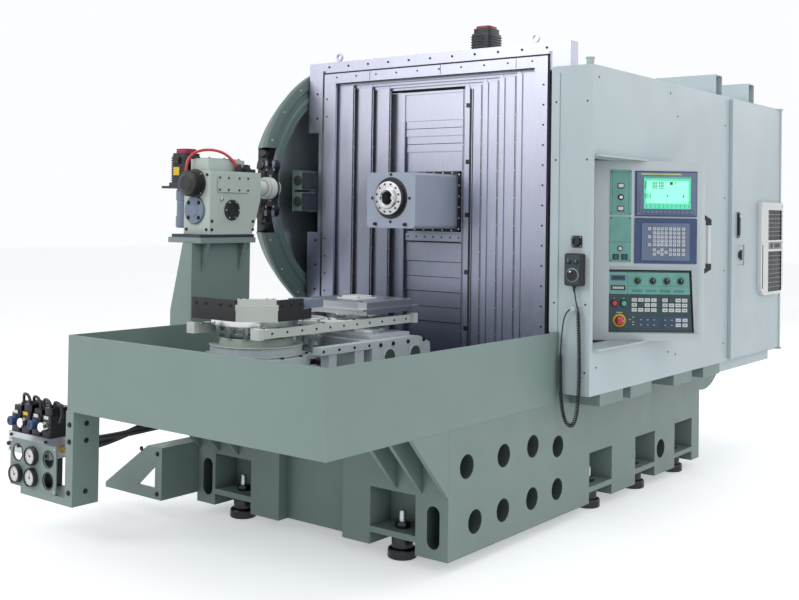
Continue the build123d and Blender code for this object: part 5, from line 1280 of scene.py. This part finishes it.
def magazine_station():
    """Bracket fittings: covers of the station boxes, axle cap, bolts and a cable gland."""
    shape = Shape("station_boxes", SERVO_DARK)
    for low in (1396, 1506):
        shape.poly("X", rounded((1485, 1585), (low + 5, low + 93), 8), (-1498, -1492))
        shape.screws("X", product((1494, 1576), (low + 14, low + 84)), -1492, 1, 4.5, 3, DARK_STEEL, 14)
        shape.turned("Y", (-1522, low + 49), [(1482, 26), (1474, 26), (1472, 23), (1472, 0)], 32, BLACK)
    shape.turned("X", MAGAZINE, [(-1548, 70), (-1540, 70), (-1538, 64), (-1538, 30), (-1530, 28), (-1530, 0)], 48,
                 CHROME)
    shape.hexheads("X", circle(MAGAZINE, 52, 8), -1538, 1, 8, 6, DARK_STEEL)
    shape.hexheads("X", product((1790, 2110), range(420, 1600, 170)), -1547, 1, 9, 7, DARK_STEEL)
    shape.done("base", (), 1.0, 2)


# Hydraulics beside the bed

def gauges():
    """Gauge plate with three round openings and three dials: rims, white faces, marks, needles and glasses."""
    shape = Shape("gauge_plate", CAST)
    shape.poly("Y", rounded((-1819, -1489), (194, 395), 8), (0, 6))
    openings = ((-1764, 337), (-1544, 337), (-1544, 246))
    for spot in openings:
        shape.rod("Y", spot, (-5, 12), 34, 40, CAST, True)
    shape.carve()
    for spot in openings:
        shape.ring("Y", spot, (-2, 1), 38, 34, 40, BLACK, 0.8)
    for spot, reading in (((-1654, 337), 140), ((-1764, 246), 115), ((-1654, 246), 90)):
        rim = [(1, 40), (-16, 40), (-21, 38), (-22, 35), (-17, 33), (-15, 33), (-15, 0)]
        shape.turned("Y", spot, rim, 48, BLACK)
        shape.turned("Y", spot, [(-14.6, 32.5), (-15.6, 32.5), (-15.6, 0)], 48, WHITE)
        for reach in (25, 28):
            for mark in arc(spot, reach, -45, 225, 12):
                shape.rod("Y", mark, (-16.3, -15), 1.3, 8, BLACK)
        turn = Matrix.Rotation(radians(reading), 2)
        needle = [Vector(spot) + turn @ Vector(p) for p in ((24, 0), (-6, 1.7), (-6, -1.7))]
        shape.poly("Y", needle, (-17.4, -16), RED)
        shape.rod("Y", spot, (-18.4, -16), 3.6, 16, BLACK)
        shape.turned("Y", spot, [(5, 12), (30, 12), (32, 8), (48, 8)], 20, CHROME)
    shape.screws("Y", product((-1808, -1500), (206, 383)), 0, -1, 5, 3, STEEL, 14)
    shape.done("base", ["gauge_panel"], 0.6, 2)


def valves():
    """Valve block: ground manifold, four solenoid valves with plugs, ports, couplings and their leads."""
    shape = Shape("valve_bank", IRON)
    shape.box((-1928, -1624), (60, 190), (311, 401))
    shape.box((-1714, -1624), (60, 129), (194, 311), DARK_STEEL)
    for k in range(4):
        x, top = -1890 + 76 * k, 529 + 12 * (k % 2)
        shape.poly("Z", rounded((x - 30, x + 30), (68, 182), 7), (401, top - 46), BLACK)
        shape.poly("Z", rounded((x - 26, x + 26), (74, 176), 12), (top - 50, top - 14), DARK_STEEL)
        cap = [(top - 15, 24), (top - 6, 24), (top - 3, 20), (top - 1, 12), (top - 1, 0)]
        shape.turned("Z", (x, 125), cap, 32, BLACK)
        plug = [(69, 21), (40, 21), (37, 18), (37, 9), (40, 8), (40, 0)]
        shape.turned("Y", (x, 450), plug, 32, CHROME if k % 2 else NAVY)
        shape.turned("Y", (x, 352), [(61, 17), (52, 17), (50, 14), (50, 0)], 6, BRASS if k == 2 else CHROME)
        shape.rod("Y", (x, 352), (30, 52), 9, 20, BLACK, edge=1.5)
        shape.box((x - 16, x + 16), (67, 70), (480, 494), YELLOW if k == 1 else WHITE)
        lead = route_line([(x, 110, 520), (x, 108, 556 - 4 * k), (x + 20, 100, 566 - 4 * k),
                           (x + 60, 96, 560 - 4 * k), (x + 74, 100, 500), (x + 76, 80, 470)])
        tube_mesh(shape, lead, 6.5, 14, BLACK)
    shape.screws("Y", product((-1905, -1650), (326, 386)), 60, -1, 7, 5, DARK_STEEL, 16)
    shape.turned("X", (130, 346), [(-1626, 20), (-1612, 20), (-1610, 16), (-1596, 16), (-1596, 9)], 6, BRASS)
    for port in product((150, 180), (340, 366, 392)):
        shape.turned("X", port, [(-1626, 12), (-1612, 12), (-1611, 9), (-1600, 9)], 6, CHROME)
    shape.done("base", ["valve_manifold"], 1.4, 2)


def pressure_hoses():
    """Two rows of three hoses from the manifold up below the tray to the bed, each a NURBS line with crimped ends."""
    fittings = Shape("hose_fittings", CHROME)
    for row, (letter, dy, dz) in product((0, 1), (("a", -8, -5), ("b", 8, -5), ("c", 0, 9))):
        x, y = -1245 + 40 * row, 165 + dy
        low, high = 346 + 40 * row + dz, 520 - 40 * row + dz
        route = [(-1622, y, low), (-1504, y, low), (x, 430 + dy, high), (x, 722, high)]
        places = [MACHINE @ Vector(p) for p in route]
        hose = spline(f"hose_{row + 1}_{letter}", places, 0.0075)
        hose.data.materials.append(RUBBER)
        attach(hose, "base")
        if (row, letter) == (0, "a"):
            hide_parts("hydraulic_hoses")
        round(length_of(followed(places)), 3)
        fittings.rod("X", (y, low), (-1622, -1600), 10, 20, edge=1.5)
        fittings.turned("X", (y, low), [(-1626, 11.5), (-1614, 11.5)], 6, BRASS if letter == "c" else CHROME)
        fittings.rod("Y", (x, high), (704, 724), 10, 20, edge=1.5)
        fittings.turned("Y", (x, high), [(716, 11.5), (726, 11.5)], 6)
    fittings.done("base", (), 0.6, 1)


def bracket_details():
    """Bolts on the hanger and the side bracket."""
    shape = Shape("bracket_bolts", DARK_STEEL)
    for axis, places, face, out in (("X", [(65, z) for z in (220, 430, 500)], -1377, 1),
                                    ("Y", [(-1402, z) for z in (220, 430, 500)], 0, -1),
                                    ("Z", [(x, 65) for x in (-1700, -1600, -1500)], 194, 1),
                                    ("Y", [(-1450, 110), (-1450, 290), (-1560, 300)], 506, -1)):
        shape.hexheads(axis, places, face, out, 9, 7)
    shape.done("base", (), 1.0, 2)


# Every piece

for name in ("cabinet_shell", "electrical_cabinet", "electrical_door"):
    dress(name, CABINET, 2.5)
air_conditioner()
door_fittings()
door_dish()
cabinet_details()

for name in ("wall_frame", "left_cover_1", "left_cover_2", "left_cover_3", "right_cover_1", "right_cover_2",
             "right_cover_3", "right_cover_4", "y_cover", "upper_slat_1", "upper_slat_2", "lower_slat_1",
             "lower_slat_2"):
    dress(name, COVER, 1.0)
wall_details()
cover_lips()
dress("column", CAST, 3)
dress("head_carriage", COVER, 2)
dress("ram", RAM, 4)
axis_motor()
ram_details()
slat_seams()
carriage_details()
spindle_nose()

dress("table_base", PALE_CAST, 5)
dress("changer_base", PALE_CAST, 3)
dress("changer_fork", CREAM, 2)
dress("changer_hub", CHROME, 1)
dress("rotary_table", CHROME, 1)
dress("station_table", HOUSING, 1)
rear_pallet()
front_pallet()
changer_details()
station_details()

dress("atc_pedestal", CAST, 5)
dress("atc_saddle", SERVO_DARK, 1)
dress("atc_housing", HOUSING, 6)
arm_gearbox()
arm_drives()
gripper_arm()

magazine_guard()
magazine_pots()
dress("magazine_stand", GUARD, 3)
magazine_station()

panel_housing()
panel_strips()
screen_unit()
keyboard_unit()
control_panel()
panel_controls()
hand_pendant()

dress("manifold_bracket", CAST, 2)
gauges()
valves()
pressure_hoses()
bracket_details()
